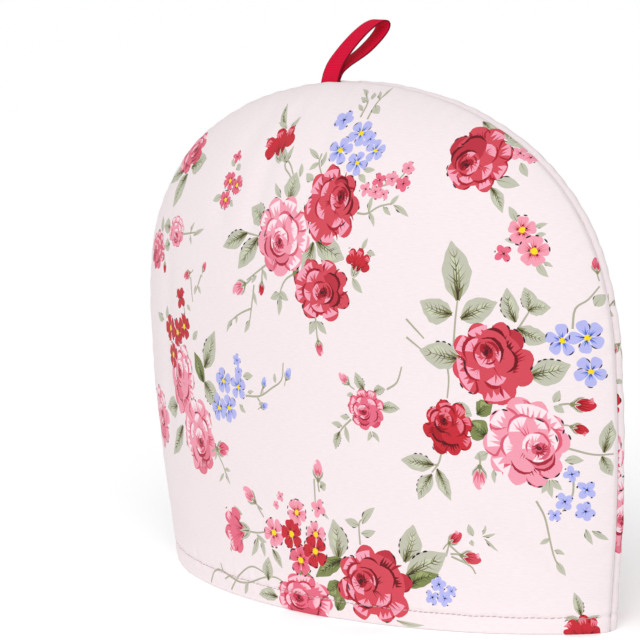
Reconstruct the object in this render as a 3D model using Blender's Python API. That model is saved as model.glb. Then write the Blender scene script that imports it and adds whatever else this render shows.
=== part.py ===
"""A padded tea cosy standing on its open hem.

Two arched, wadded cotton panels are sewn face to face round the arch. Stood up, they bow apart into a
lens-shaped dome that drops over a teapot. A folded ribbon, caught in the seam a little left of the top,
makes the hanging loop. Metres, +Z up, the seam in the XZ plane, the front panel towards -Y, and the
origin on the table under the middle of the dome.
"""
import math

import bmesh
import bpy
from mathutils import Vector

HEIGHT = 0.270            # table to the crest of the seam, without the loop
HEM_HALF_WIDTH = 0.154    # half the width across the two ends of the hem
HALF_WIDTH = 0.1647       # half the width where the arch is widest
WIDEST_AT = 0.455         # share of the height where it is widest
ARCH_POWER = 2.77         # how square the shoulders of the arch are
BULGE = 0.0553            # how far a panel bows out from its seam at the hem
BULGE_FALL = 6.84         # how late the bow fades towards the top
PLAN_POWER = 1.97         # how flat the bow is across its middle
EDGE_POWER = 1.30         # how round the panel turns into the seam

WALL = 0.005              # cloth, wadding and lining together
RIDGE = 0.003             # puffed edge of a panel, out from the seam plane
GROOVE = 0.0015           # depth of the seam's groove behind that puffed edge
SEAM_BAND = 0.005         # width over which the panels are sewn face to face
SEAM_GAP = 0.0003         # kept between the two panels
SEAM_LIP = 0.0008         # flat left beside the groove before the sewn band
HEM_ROUND = 0.0015        # radius of the folded hem's two lower edges

RIBBON_WIDTH = 0.0120
RIBBON_THICK = 0.0010
LOOP_X = -0.0199          # where the loop is caught in the seam
LOOP_LEAN_DEG = 12.0      # heading of the lean, from straight back towards +X
LOOP_TWIST_DEG = 20.0     # turn of the ribbon at the tip of the loop
LOOP_FOOT_DEPTH = 0.0052  # length of ribbon held inside the seam
FOOT_GAP = 0.0002         # between the ribbon's two ends
POCKET_GAP = 0.0003       # round the ribbon's ends in the seam
POCKET_HEADROOM = 0.004   # how far the pocket's cutter stands above the arch

COLUMNS = 38              # cells across a panel, between its two edges
ROWS = 21                 # cells up a panel, from the hem's rounding to the arch
EDGE_ROWS = 4             # cells round the puffed edge
EDGE_CROWDING = 0.6       # 0 spaces the cells evenly, 1 crowds them most at the edges
LOOP_STEPS = 4            # cells between two stations of the loop

# Soft troughs in each panel: both ends, in metres from the middle of the hem, half-width and depth.
CREASE_COLUMNS = ("x0", "z0", "x1", "z1", "half_width", "depth")
FRONT_CREASES = (
    (-0.022, 0.262, -0.034, 0.196, 0.0070, 0.0014),
    (-0.046, 0.255, -0.062, 0.205, 0.0080, 0.0012),
    (0.004, 0.262, 0.010, 0.222, 0.0060, 0.0009),
    (0.092, 0.214, 0.134, 0.196, 0.0080, 0.0012),
    (0.106, 0.052, 0.146, 0.020, 0.0080, 0.0012),
    (-0.118, 0.170, -0.126, 0.080, 0.0080, 0.0011),
)
BACK_CREASES = (
    (-0.016, 0.262, -0.006, 0.205, 0.0070, 0.0013),
    (0.040, 0.256, 0.058, 0.212, 0.0080, 0.0011),
    (-0.090, 0.214, -0.130, 0.190, 0.0080, 0.0012),
    (-0.060, 0.060, -0.100, 0.024, 0.0080, 0.0010),
    (0.116, 0.160, 0.124, 0.078, 0.0080, 0.0011),
)

# The loop's middle line: how far it leans out from its foot, and its height above the table.
LOOP_COLUMNS = ("lean", "height")
LOOP_FRONT = (
    (0.0000, 0.2692),
    (0.0012, 0.2735),
    (0.0040, 0.2785),
    (0.0095, 0.2840),
    (0.0170, 0.2895),
    (0.0255, 0.2940),
    (0.0335, 0.2966),
    (0.0392, 0.2962),
)
LOOP_TIP = (
    (0.0412, 0.2940),
    (0.0390, 0.2915),
)
LOOP_BACK = (
    (0.0345, 0.2886),
    (0.0290, 0.2852),
    (0.0225, 0.2820),
    (0.0155, 0.2793),
    (0.0085, 0.2765),
    (0.0035, 0.2735),
    (0.0006, 0.2692),
)

COTTON = (0.93, 0.86, 0.86, 1.0)
CRIMSON = (0.62, 0.015, 0.045, 1.0)


def clear_scene():
    for obj in list(bpy.data.objects):
        bpy.data.objects.remove(obj)


def collection(name):
    made = bpy.data.collections.new(name)
    bpy.context.scene.collection.children.link(made)
    return made


def material(name, colour, roughness):
    made = bpy.data.materials.new(name)
    made.use_nodes = True
    shader = made.node_tree.nodes["Principled BSDF"]
    shader.inputs["Base Color"].default_value = colour
    shader.inputs["Roughness"].default_value = roughness
    shader.inputs["Metallic"].default_value = 0.0
    return made


def mesh_object(name, bm, home, finish):
    mesh = bpy.data.meshes.new(name)
    bm.to_mesh(mesh)
    bm.free()
    mesh.shade_smooth()
    mesh.materials.append(finish)
    obj = bpy.data.objects.new(name, mesh)
    home.objects.link(obj)
    return obj


def arch_half_width(rise):
    """Half-width of the arch at a share of its height: it flares from the hem, then closes over."""
    if rise < WIDEST_AT:
        flare = math.sin(rise / WIDEST_AT * math.pi / 2)
        return HEM_HALF_WIDTH + (HALF_WIDTH - HEM_HALF_WIDTH) * flare
    climb = (rise - WIDEST_AT) / (1 - WIDEST_AT)
    return HALF_WIDTH * math.sqrt(max(1 - climb**ARCH_POWER, 0.0))


def swell(across, rise):
    """The panel's bow, from 0 at the seam to 1 in the middle of the hem."""
    plan = max(1 - abs(across) ** PLAN_POWER, 0.0)
    fade = max(1 - rise**BULGE_FALL, 0.0)
    return (plan * fade) ** (1 / EDGE_POWER)


def crease_depth(x, z, creases):
    total = 0.0
    for row in creases:
        crease = dict(zip(CREASE_COLUMNS, row))
        start = Vector((crease["x0"], crease["z0"]))
        run = Vector((crease["x1"], crease["z1"])) - start
        along = (Vector((x, z)) - start).dot(run) / run.length_squared
        along = min(max(along, 0.0), 1.0)
        away = (Vector((x, z)) - start - run * along).length
        total += crease["depth"] * math.exp(-((away / crease["half_width"]) ** 2))
    return total


def crowded_lines(cells, low):
    """Grid lines from low to 1 that crowd together towards -1 and 1."""
    lines = []
    for step in range(cells + 1):
        even = low + (1 - low) * step / cells
        bent = math.sin(even * math.pi / 2)
        lines.append((1 - EDGE_CROWDING) * even + EDGE_CROWDING * bent)
    return lines


def edge_lines():
    """Grid lines past 1, one for each cell round the puffed edge."""
    return [1 + step / EDGE_ROWS for step in range(1, EDGE_ROWS + 1)]


def outer_skin(across, rise, edge, creases):
    """A point of the outer skin. Past the arch, edge runs from 0 at its crest to 1 in the seam's groove."""
    turn = edge * math.pi / 2
    inset = GROOVE * (1 - math.cos(turn))
    x = (arch_half_width(rise) - inset) * across
    z = rise * (HEIGHT - inset)
    out = SEAM_GAP / 2 + (RIDGE - SEAM_GAP / 2) * (1 - math.sin(turn))
    bow = swell(across, rise)
    out += BULGE * bow - crease_depth(x, z, creases) * min(1.0, 2 * bow)
    return x, out, z


def inner_skin(across, rise, edge, creases):
    """The matching point of the inner skin. Past its own edge it crosses the sewn band to the groove."""
    inset = GROOVE + SEAM_BAND + (SEAM_LIP - SEAM_BAND) * edge
    x = (arch_half_width(rise) - inset) * across
    z = rise * (HEIGHT - inset)
    bow = swell(across, rise)
    out = SEAM_GAP / 2 + (BULGE + RIDGE - WALL) * bow
    out -= crease_depth(x, z, creases) * min(1.0, 2 * bow)
    return x, out, z


def panel_pair(a, b, creases):
    """Both skins at a grid point. The square grid is bent onto the arch, and rounded off at the hem."""
    reach = max(abs(a), b, 1.0)
    edge = reach - 1.0
    a /= reach
    b /= reach
    rise = b * math.sqrt(1 - a * a / 2)
    spread = a * math.sqrt(1 - b * b / 2)
    level = math.sqrt(max(1 - rise * rise, 0.0))
    across = spread / level if level > 0 else 0.0
    outer = Vector(outer_skin(across, rise, edge, creases))
    inner = Vector(inner_skin(across, rise, edge, creases))
    if outer.z < HEM_ROUND:
        pinch = HEM_ROUND - math.sqrt(HEM_ROUND**2 - (HEM_ROUND - outer.z) ** 2)
        through = Vector((inner.x - outer.x, inner.y - outer.y, 0.0)).normalized()
        if edge == 0:
            outer += through * pinch
            inner -= through * pinch
    return outer, inner


def build_panel(name, side, creases, home, finish):
    """A flat grid is given a second skin and a rim, and both skins are then moved onto the cloth's form."""
    hem_lines = [HEM_ROUND * share / HEIGHT for share in (0.0, 0.35, 1.0)]
    inner_lines = crowded_lines(COLUMNS, -1.0)
    a_lines = [-line for line in reversed(edge_lines())] + inner_lines + edge_lines()
    b_lines = hem_lines + crowded_lines(ROWS, 0.0)[1:] + edge_lines()
    bm = bmesh.new()
    bmesh.ops.create_grid(bm, x_segments=len(a_lines) - 1, y_segments=len(b_lines) - 1, size=1.0)
    bmesh.ops.solidify(bm, geom=bm.faces[:], thickness=1.0)
    middle = sum(vert.co.z for vert in bm.verts) / len(bm.verts)
    for vert in bm.verts:
        column = round((vert.co.x + 1) / 2 * (len(a_lines) - 1))
        row = round((vert.co.y + 1) / 2 * (len(b_lines) - 1))
        outer, inner = panel_pair(a_lines[column], b_lines[row], creases)
        x, out, z = outer if vert.co.z > middle else inner
        vert.co = (x, side * out, z)
    bmesh.ops.recalc_face_normals(bm, faces=bm.faces[:])
    return mesh_object(name, bm, home, finish)


def smooth_route(stations):
    """Points of a Catmull-Rom curve through the stations."""
    route = []
    for here in range(len(stations) - 1):
        before = stations[max(here - 1, 0)]
        start = stations[here]
        end = stations[here + 1]
        after = stations[min(here + 2, len(stations) - 1)]
        for step in range(LOOP_STEPS):
            t = step / LOOP_STEPS
            bend = 2 * before - 5 * start + 4 * end - after
            twist = 3 * start - before - 3 * end + after
            route.append((2 * start + (end - before) * t + bend * t**2 + twist * t**3) / 2)
    route.append(stations[-1])
    return route


def loop_route():
    """The ribbon's middle line as (lean, height): up the front strand, round the tip, down the back one."""
    half_pitch = (RIBBON_THICK + FOOT_GAP) / 2
    rows = [dict(zip(LOOP_COLUMNS, row)) for row in LOOP_FRONT + LOOP_TIP + LOOP_BACK]
    stations = [Vector((row["lean"], row["height"])) for row in rows]
    stations[0].x = -half_pitch
    stations[-1].x = half_pitch
    foot = stations[0].y - LOOP_FOOT_DEPTH
    return [Vector((-half_pitch, foot))] + smooth_route(stations) + [Vector((half_pitch, foot))]


def loop_section(lean, height, ahead, share):
    """Four corners of the ribbon at one point of its route, turned about its own standing line."""
    heading = math.radians(LOOP_LEAN_DEG) * share
    turn = -math.radians(LOOP_TWIST_DEG) * share
    middle = Vector((LOOP_X + lean * math.sin(heading), lean * math.cos(heading), height))
    wide = Vector((math.cos(turn), math.sin(turn), 0.0))
    ahead_3d = Vector((-math.sin(turn) * ahead.x, math.cos(turn) * ahead.x, ahead.y))
    thick = ahead_3d.cross(wide).normalized() * RIBBON_THICK / 2
    wide *= RIBBON_WIDTH / 2
    return [middle - wide - thick, middle + wide - thick, middle + wide + thick, middle - wide + thick]


def build_loop(name, home, finish):
    route = loop_route()
    tallest = max(point.x for point in route)
    bm = bmesh.new()
    rings = []
    for here, point in enumerate(route):
        ahead = (route[min(here + 1, len(route) - 1)] - route[max(here - 1, 0)]).normalized()
        share = min(max(point.x / tallest, 0.0), 1.0)
        corners = loop_section(point.x, point.y, ahead, share)
        rings.append([bm.verts.new(corner) for corner in corners])
    for lower, upper in zip(rings, rings[1:]):
        for side in range(4):
            nearby = (side + 1) % 4
            bm.faces.new((lower[side], lower[nearby], upper[nearby], upper[side]))
    bm.faces.new(rings[0])
    bm.faces.new(rings[-1])
    bmesh.ops.recalc_face_normals(bm, faces=bm.faces[:])
    obj = mesh_object(name, bm, home, finish)
    obj.data.set_sharp_from_angle(angle=math.radians(40))
    return obj


def build_pocket(home):
    """The slot that the ribbon's two ends leave in the seam."""
    low = LOOP_FRONT[0][1] - LOOP_FOOT_DEPTH - POCKET_GAP
    high = HEIGHT + POCKET_HEADROOM
    size = (
        RIBBON_WIDTH + 2 * POCKET_GAP,
        2 * RIBBON_THICK + FOOT_GAP + 2 * POCKET_GAP,
        high - low,
    )
    bpy.ops.mesh.primitive_cube_add(size=1.0, location=(LOOP_X, 0.0, (low + high) / 2))
    pocket = bpy.context.object
    pocket.name = "loop_pocket"
    pocket.scale = size
    bpy.ops.object.transform_apply(location=False, rotation=False, scale=True)
    for owner in pocket.users_collection:
        owner.objects.unlink(pocket)
    home.objects.link(pocket)
    pocket.hide_render = True
    pocket.display_type = "WIRE"
    return pocket


def cut(panel, pocket):
    boolean = panel.modifiers.new("loop pocket", "BOOLEAN")
    boolean.operation = "DIFFERENCE"
    boolean.solver = "EXACT"
    boolean.object = pocket


clear_scene()
cosy = collection("tea cosy")
cutters = collection("cutters")
cotton = material("printed cotton", COTTON, 0.9)
grosgrain = material("crimson grosgrain", CRIMSON, 0.55)
loop_pocket = build_pocket(cutters)
front = build_panel("front_panel", -1, FRONT_CREASES, cosy, cotton)
back = build_panel("back_panel", 1, BACK_CREASES, cosy, cotton)
cut(front, loop_pocket)
cut(back, loop_pocket)
build_loop("hanging_loop", cosy, grosgrain)
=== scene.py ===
import math
import random

import bmesh
import bpy
import numpy as np
from mathutils import Euler, Matrix, Vector, geometry
from mathutils.bvhtree import BVHTree


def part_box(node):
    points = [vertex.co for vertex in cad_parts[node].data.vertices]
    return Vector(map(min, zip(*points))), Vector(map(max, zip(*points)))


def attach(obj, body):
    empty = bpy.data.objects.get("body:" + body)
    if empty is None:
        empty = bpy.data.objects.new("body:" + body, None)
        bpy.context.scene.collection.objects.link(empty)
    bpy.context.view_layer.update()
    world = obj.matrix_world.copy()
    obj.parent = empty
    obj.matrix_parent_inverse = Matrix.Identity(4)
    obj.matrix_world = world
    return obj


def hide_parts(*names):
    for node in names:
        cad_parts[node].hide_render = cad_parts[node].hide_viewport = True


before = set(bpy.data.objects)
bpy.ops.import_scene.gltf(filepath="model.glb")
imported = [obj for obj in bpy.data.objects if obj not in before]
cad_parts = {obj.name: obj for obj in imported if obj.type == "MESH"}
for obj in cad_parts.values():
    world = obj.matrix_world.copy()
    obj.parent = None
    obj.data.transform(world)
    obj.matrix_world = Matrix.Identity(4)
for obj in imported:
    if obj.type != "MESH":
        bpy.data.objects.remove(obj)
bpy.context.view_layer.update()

# THE FORM OF A PANEL. Each half of the cosy is an arch of wadded cotton, sewn to the other along its round
# edge and turned right side out, so that it bows away from the seam and puffs up beside it. The form is
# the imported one: its height, width and bow are read from the frame, and the rest are the maker's sizes.
panel_low, panel_high = (Vector(corner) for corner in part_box("front_panel"))
HEIGHT = panel_high.z
HALF_WIDTH = panel_high.x
RIDGE = 0.003             # puffed edge of a panel, out from the seam plane
BULGE = -panel_low.y - RIDGE
HEM_HALF_WIDTH = 0.154    # half the width across the two ends of the hem
WIDEST_AT = 0.455         # share of the height where the arch is widest
ARCH_POWER = 2.77         # how square the shoulders of the arch are
BULGE_FALL = 6.84         # how late the bow fades towards the top
PLAN_POWER = 1.97         # how flat the bow is across its middle
EDGE_POWER = 1.30         # how round the panel turns into the seam
WALL = 0.005              # cloth, wadding and lining together
GROOVE = 0.0015           # depth of the seam's groove behind the puffed edge
SEAM_BAND = 0.005         # width over which the panels are sewn face to face
SEAM_GAP = 0.0003         # kept between the two panels
SEAM_LIP = 0.0008         # flat left beside the groove before the sewn band
HEM_ROUND = 0.0015        # radius of the folded hem's two lower edges
LOOP_X = -0.0199          # where the ribbon is caught in the seam
PARTED = 0.0009           # how far the ribbon's ends push each panel aside
PARTED_HALF = 0.0068      # half the width over which they do
PARTED_FROM = 0.2545      # height at which the panels start to part
PARTED_RISE = 0.008       # and how much higher they are fully parted
SIDES = {"front_panel": -1.0, "back_panel": 1.0}

# Soft troughs in each panel: both ends, in metres from the middle of the hem, half-width and depth.
CREASE_COLUMNS = ("x0", "z0", "x1", "z1", "half_width", "depth")
CREASES = {
    "front_panel": (
        (-0.022, 0.262, -0.034, 0.196, 0.0070, 0.0014),
        (-0.046, 0.255, -0.062, 0.205, 0.0080, 0.0012),
        (0.004, 0.262, 0.010, 0.222, 0.0060, 0.0009),
        (0.092, 0.214, 0.134, 0.196, 0.0080, 0.0012),
        (0.106, 0.052, 0.146, 0.020, 0.0080, 0.0012),
        (-0.118, 0.170, -0.126, 0.080, 0.0080, 0.0011),
    ),
    "back_panel": (
        (-0.016, 0.262, -0.006, 0.205, 0.0070, 0.0013),
        (0.040, 0.256, 0.058, 0.212, 0.0080, 0.0011),
        (-0.090, 0.214, -0.130, 0.190, 0.0080, 0.0012),
        (-0.060, 0.060, -0.100, 0.024, 0.0080, 0.0010),
        (0.116, 0.160, 0.124, 0.078, 0.0080, 0.0011),
    ),
}


def smooth_step(value, low, high):
    share = np.clip((value - low) / (high - low), 0, 1)
    return share * share * (3 - 2 * share)


def arch_half_width(rise):
    """Half-width of the arch at a share of its height: it flares from the hem, then closes over."""
    flare = np.sin(np.clip(rise / WIDEST_AT, -1, 1) * np.pi / 2)
    climb = np.clip((rise - WIDEST_AT) / (1 - WIDEST_AT), 0, 1)
    lower = HEM_HALF_WIDTH + (HALF_WIDTH - HEM_HALF_WIDTH) * flare
    return np.where(rise < WIDEST_AT, lower, HALF_WIDTH * np.sqrt(1 - climb**ARCH_POWER))


def unfold_disc(disc):
    """A panel is mapped on half a disc: radius 1 is the seam's crest, and 2 is the groove behind it."""
    radius = np.hypot(disc[:, 0], disc[:, 1])
    edge = np.clip(radius - 1, 0, 1)
    spread, rise = (disc / np.maximum(radius, 1)[:, None]).T
    level = np.sqrt(np.maximum(1 - rise**2, 1e-12))
    return np.clip(spread / level, -1, 1), rise, edge


def on_disc(x, z):
    """The place on the disc of a point x across and z above the hem, inside the arch."""
    rise = np.clip(z / HEIGHT, 0, 1)
    across = np.clip(x / np.maximum(arch_half_width(rise), 1e-9), -1, 1)
    return np.stack([across * np.sqrt(1 - rise**2), rise], -1)


def swell(across, rise):
    """The panel's bow, from 0 at the seam to 1 in the middle of the hem."""
    plan = np.maximum(1 - np.abs(across) ** PLAN_POWER, 0)
    fade = np.maximum(1 - np.maximum(rise, 0) ** BULGE_FALL, 0)
    return (plan * fade) ** (1 / EDGE_POWER)


def crease_depth(x, z, panel):
    total = np.zeros_like(x)
    for row in CREASES[panel]:
        crease = dict(zip(CREASE_COLUMNS, row))
        start = np.array((crease["x0"], crease["z0"]))
        run = np.array((crease["x1"], crease["z1"])) - start
        from_start = np.stack([x, z], -1) - start
        along = np.clip(from_start @ run / (run @ run), 0, 1)
        away = np.linalg.norm(from_start - along[:, None] * run, axis=1)
        total += crease["depth"] * np.exp(-((away / crease["half_width"]) ** 2))
    return total


def skin(disc, panel, inner=False):
    """Points of the outer or inner skin, with the rounded hem and the place where the ribbon is held."""
    across, rise, edge = unfold_disc(disc)
    turn = edge * np.pi / 2
    bow = swell(across, rise)
    if inner:
        inset = GROOVE + SEAM_BAND + (SEAM_LIP - SEAM_BAND) * edge
        out = SEAM_GAP / 2 + (BULGE + RIDGE - WALL) * bow
    else:
        inset = GROOVE * (1 - np.cos(turn))
        out = SEAM_GAP / 2 + (RIDGE - SEAM_GAP / 2) * (1 - np.sin(turn)) + BULGE * bow
    x = (arch_half_width(rise) - inset) * across
    z = rise * (HEIGHT - inset)
    out = out - crease_depth(x, z, panel) * np.minimum(1, 2 * bow)
    beside = 1 - smooth_step(np.abs(x - LOOP_X), PARTED_HALF, 2 * PARTED_HALF)
    out = out + PARTED * beside * smooth_step(z, PARTED_FROM, PARTED_FROM + PARTED_RISE)
    low = np.clip((HEM_ROUND - z) / HEM_ROUND, 0, 1)
    pinch = HEM_ROUND * (1 - np.sqrt(1 - low**2)) * (1 - edge)
    out = out + np.where(inner, pinch, -pinch)
    return np.stack([x, SIDES[panel] * out, z], -1)


def skin_normals(skin_form, disc, panel):
    """Unit normals of a skin, pointing away from the pot, from small steps over the disc."""
    step = 2e-4
    ahead = skin_form(disc + (step, 0), panel) - skin_form(disc - (step, 0), panel)
    above = skin_form(disc + (0, step), panel) - skin_form(disc - (0, step), panel)
    normals = np.cross(ahead, above) * -SIDES[panel]
    return normals / np.maximum(np.linalg.norm(normals, axis=1, keepdims=True), 1e-15)


# THE SEWN RELIEF. The seam round the arch is drawn in by its thread, so the cloth puckers beside it. The
# hem is turned up inside and topstitched through every layer about ten millimetres above its edge: the
# stitches sink into a shallow channel, and the cloth ripples on both sides of it.
SEAM_RADIUS = 0.215       # metres along the seam for each radian round the arch
PUCKER = 0.00022          # height of the seam's small puckers
PUCKER_LENGTH = 0.0105
PUCKER_REACH = 0.009      # how far they run in from the seam
PUCKER_SLANT = 0.15
EASE = 0.00022            # height of the long soft waves beside the seam
EASE_LENGTH = 0.047
EASE_REACH = 0.022
CHANNEL = 0.0007          # depth of the topstitched channel
CHANNEL_HALF = 0.0013
RIPPLE = 0.00024          # height of the hem's ripples
RIPPLE_LENGTH = 0.0078
RIPPLE_REACH = 0.0075
RIPPLE_SLANT = 0.45
PUFF = 0.00035            # how far the padded cloth swells between the channel and the hem's edge
PUFF_ABOVE = 0.006        # how far above the stitches the swelling ends
SOFT = 0.00045            # height of the wide hollows that hands leave in the padding
SOFT_REACH = 0.03
STITCH_HEIGHT = 0.0098    # of the topstitching above the table, in the middle
STITCH_FALL = 0.0075      # how much lower it is for each metre to the right
STITCH_WANDER = 0.00022   # how far the line strays from straight
WANDER_LENGTH = 0.019


def irregular_wave(place, length, seed):
    """A wave of about the given length whose crests aren't evenly spaced, from -1 to 1."""
    luck = random.Random(seed)
    wander = np.sin(place / length * 1.31 + luck.uniform(0, 6)) * 1.1
    first = np.sin(place / length * math.tau + wander + luck.uniform(0, 6))
    second = np.sin(place / length * math.tau * 0.61 + luck.uniform(0, 6))
    return 0.62 * first + 0.38 * second


def stitch_line(x):
    return STITCH_HEIGHT - STITCH_FALL * x + STITCH_WANDER * irregular_wave(x, WANDER_LENGTH, 5)


def relief(disc, panel):
    """How far the sewing lifts the cloth off its plain form."""
    seed = 11 if panel == "front_panel" else 37
    across, rise, edge = unfold_disc(disc)
    heading = np.arctan2(disc[:, 1], disc[:, 0])
    reach = np.hypot(HALF_WIDTH * np.cos(heading), HEIGHT * np.sin(heading))
    inward = np.maximum(1 - np.hypot(disc[:, 0], disc[:, 1]), 0) * reach
    along = heading * SEAM_RADIUS
    x = arch_half_width(rise) * across
    z = rise * HEIGHT
    puckers = PUCKER * irregular_wave(along + PUCKER_SLANT * inward, PUCKER_LENGTH, seed)
    puckers = puckers * np.exp(-((inward / PUCKER_REACH) ** 2))
    ease = EASE * irregular_wave(along, EASE_LENGTH, seed + 1) * np.exp(-((inward / EASE_REACH) ** 2))
    above = z - stitch_line(x)
    channel = -CHANNEL * np.exp(-((above / CHANNEL_HALF) ** 2))
    ripples = RIPPLE * irregular_wave(x + RIPPLE_SLANT * above, RIPPLE_LENGTH, seed + 2)
    ripples = ripples * np.exp(-((above / RIPPLE_REACH) ** 2)) * smooth_step(z, 0, 0.003)
    puff = PUFF * np.sin(np.clip(z / (STITCH_HEIGHT + PUFF_ABOVE), 0, 1) * np.pi)
    soft = SOFT * irregular_wave(x * 0.8 + z * 0.5, 0.052, seed + 3)
    soft = soft * irregular_wave(z - 0.3 * x, 0.061, seed + 4) * smooth_step(inward, 0, SOFT_REACH)
    return (puckers + ease) * (1 - edge) + channel + ripples + puff + soft


def finished_skin(disc, panel):
    points = skin(disc, panel) + skin_normals(skin, disc, panel) * relief(disc, panel)[:, None]
    points[:, 2] = np.maximum(points[:, 2], 0)
    return points


# THE FLAT CUT. Before it is sewn, a panel is a flat arch of cloth with the print on it. The form is laid
# out flat here by letting a net of threads, each as long as on the form, settle in the plane. The print is
# then drawn on the flat cut, and every printed shape is carried back on to the form.
NET_COLUMNS = 60
NET_ROWS = 36
NET_CROWDING = 0.6        # crowds the net's lines towards the seam, where the form turns fast
NET_SETTLES = 2600
NET_SPREAD = (1.08, 1.02)   # how much wider and taller than the form the net starts out
NET_PULL = 1.6            # how hard a thread pulls, past its own share
EDGE_RINGS = 2            # rows of the net round the puffed edge
BATCH = 4_000_000         # point and side pairs that are compared at once


def crowded_lines(cells, low):
    even = np.linspace(low, 1, cells + 1)
    return (1 - NET_CROWDING) * even + NET_CROWDING * np.sin(even * np.pi / 2)


def net_on_disc():
    """The net's knots on the disc, a grid bent to the arch, with their numbers and those on the arch."""
    a, b = np.meshgrid(crowded_lines(NET_COLUMNS, -1), crowded_lines(NET_ROWS, 0), indexing="ij")
    knots = np.stack([a * np.sqrt(1 - b**2 / 2), b * np.sqrt(1 - a**2 / 2)], -1)
    number = np.arange(a.size).reshape(a.shape)
    arch = np.concatenate([number[0, :-1], number[:-1, -1], number[-1, ::-1]])
    return knots.reshape(-1, 2), number, arch


def settle_net(places, number):
    """Flat places of the knots, by pulling every thread of the net back to its own length in turn."""
    pairs = np.concatenate([
        np.stack([number[1:].ravel(), number[:-1].ravel()], -1),
        np.stack([number[:, 1:].ravel(), number[:, :-1].ravel()], -1),
        np.stack([number[1:, 1:].ravel(), number[:-1, :-1].ravel()], -1),
        np.stack([number[1:, :-1].ravel(), number[:-1, 1:].ravel()], -1),
    ])
    one, other = pairs.T
    length = np.linalg.norm(places[one] - places[other], axis=1)
    flat = places[:, (0, 2)] * NET_SPREAD
    threads = np.bincount(one, minlength=len(flat)) + np.bincount(other, minlength=len(flat))
    for _ in range(NET_SETTLES):
        run = flat[one] - flat[other]
        now = np.maximum(np.linalg.norm(run, axis=1), 1e-9)
        pull = run * ((now - length) / now / 2)[:, None]
        for axis in (0, 1):
            moved = np.bincount(other, pull[:, axis], len(flat)) - np.bincount(one, pull[:, axis], len(flat))
            flat[:, axis] += NET_PULL * moved / threads
    return flat - flat[number[NET_COLUMNS // 2, 0]]


def outward_of(line):
    """Unit vectors to the left of an open line that runs clockwise round a shape."""
    ahead = np.gradient(line, axis=0)
    out = np.stack([-ahead[:, 1], ahead[:, 0]], -1)
    return out / np.linalg.norm(out, axis=1, keepdims=True)


net_disc, net_number, net_arch = net_on_disc()
net_flat = settle_net(skin(net_disc, "front_panel"), net_number)
crest = net_flat[net_arch]
outward = outward_of(crest)
outward[0] = (-1, 0)
outward[-1] = (1, 0)
EDGE_ARC = math.pi / 2 * math.sqrt((RIDGE**2 + GROOVE**2) / 2)   # cloth from the crest to the groove
corners = (net_number[:-1, :-1], net_number[1:, :-1], net_number[1:, 1:], net_number[:-1, 1:])
cells = list(zip(*(corner.ravel() for corner in corners)))
ring = net_arch
for turn in range(1, EDGE_RINGS + 1):
    share = turn / EDGE_RINGS
    first = len(net_disc)
    net_disc = np.concatenate([net_disc, net_disc[net_arch] * (1 + share)])
    net_flat = np.concatenate([net_flat, crest + outward * EDGE_ARC * share])
    wider = np.arange(first, first + len(net_arch))
    cells += zip(ring, ring[1:], wider[1:], wider)
    ring = wider
net_triangles = np.array([triangle for a, b, c, d in cells for triangle in ((a, b, c), (a, c, d))])
groove_line = net_flat[ring]
hem_line = np.concatenate([
    groove_line[-1:],
    net_flat[ring[-1] - len(net_arch)][None],
    net_flat[net_number[::-1, 0]],
    net_flat[ring[0] - len(net_arch)][None],
    groove_line[:1],
])
flat_low, flat_high = net_flat.min(0), net_flat.max(0)

# The net laid flat, which tells the triangle that a point of the cloth lies in.
flat_tree = BVHTree.FromPolygons([(x, y, 0.0) for x, y in net_flat], net_triangles.tolist())


def flat_to_disc(points):
    """Disc places of points on the flat cut."""
    found = []
    for x, y in points:
        spot, _, face, _ = flat_tree.find_nearest((x, y, 0.0))
        corners = net_triangles[face]
        (x0, y0), (x1, y1), (x2, y2) = net_flat[corners]
        whole = (x1 - x0) * (y2 - y0) - (x2 - x0) * (y1 - y0)
        second = ((spot.x - x0) * (y2 - y0) - (x2 - x0) * (spot.y - y0)) / whole
        third = ((x1 - x0) * (spot.y - y0) - (spot.x - x0) * (y1 - y0)) / whole
        place = net_disc[corners]
        found.append(place[0] + (place[1] - place[0]) * second + (place[2] - place[0]) * third)
    return np.array(found)


def even_line(line, spacing):
    """The same line with evenly spaced points."""
    steps = np.linalg.norm(np.diff(line, axis=0), axis=1)
    so_far = np.concatenate([[0], np.cumsum(steps)])
    wanted = np.linspace(0, so_far[-1], max(2, round(so_far[-1] / spacing) + 1))
    return np.stack([np.interp(wanted, so_far, line[:, axis]) for axis in (0, 1)], -1)


def inside_shape(points, shape):
    """Which points lie inside a closed outline."""
    x0, y0 = shape.T
    x1, y1 = np.roll(shape, -1, axis=0).T
    slant = (x1 - x0) / np.where(y1 == y0, 1e-12, y1 - y0)
    inside = np.zeros(len(points), bool)
    batch = max(1, BATCH // len(shape))
    for first in range(0, len(points), batch):
        x, y = points[first:first + batch, :1], points[first:first + batch, 1:]
        crossing = ((y0 > y) != (y1 > y)) & (x < slant * (y - y0) + x0)
        inside[first:first + batch] = crossing.sum(1) % 2 == 1
    return inside


# THE PRINT'S INKS. The cotton is a pale blush ground, screen printed with roses, leaves and small blue
# flowers in some thirty flat inks. Each flower has a body ink, a shade, a deep shade and a light.
def ink(red, green, blue):
    return np.array((red, green, blue)) / 255


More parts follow.
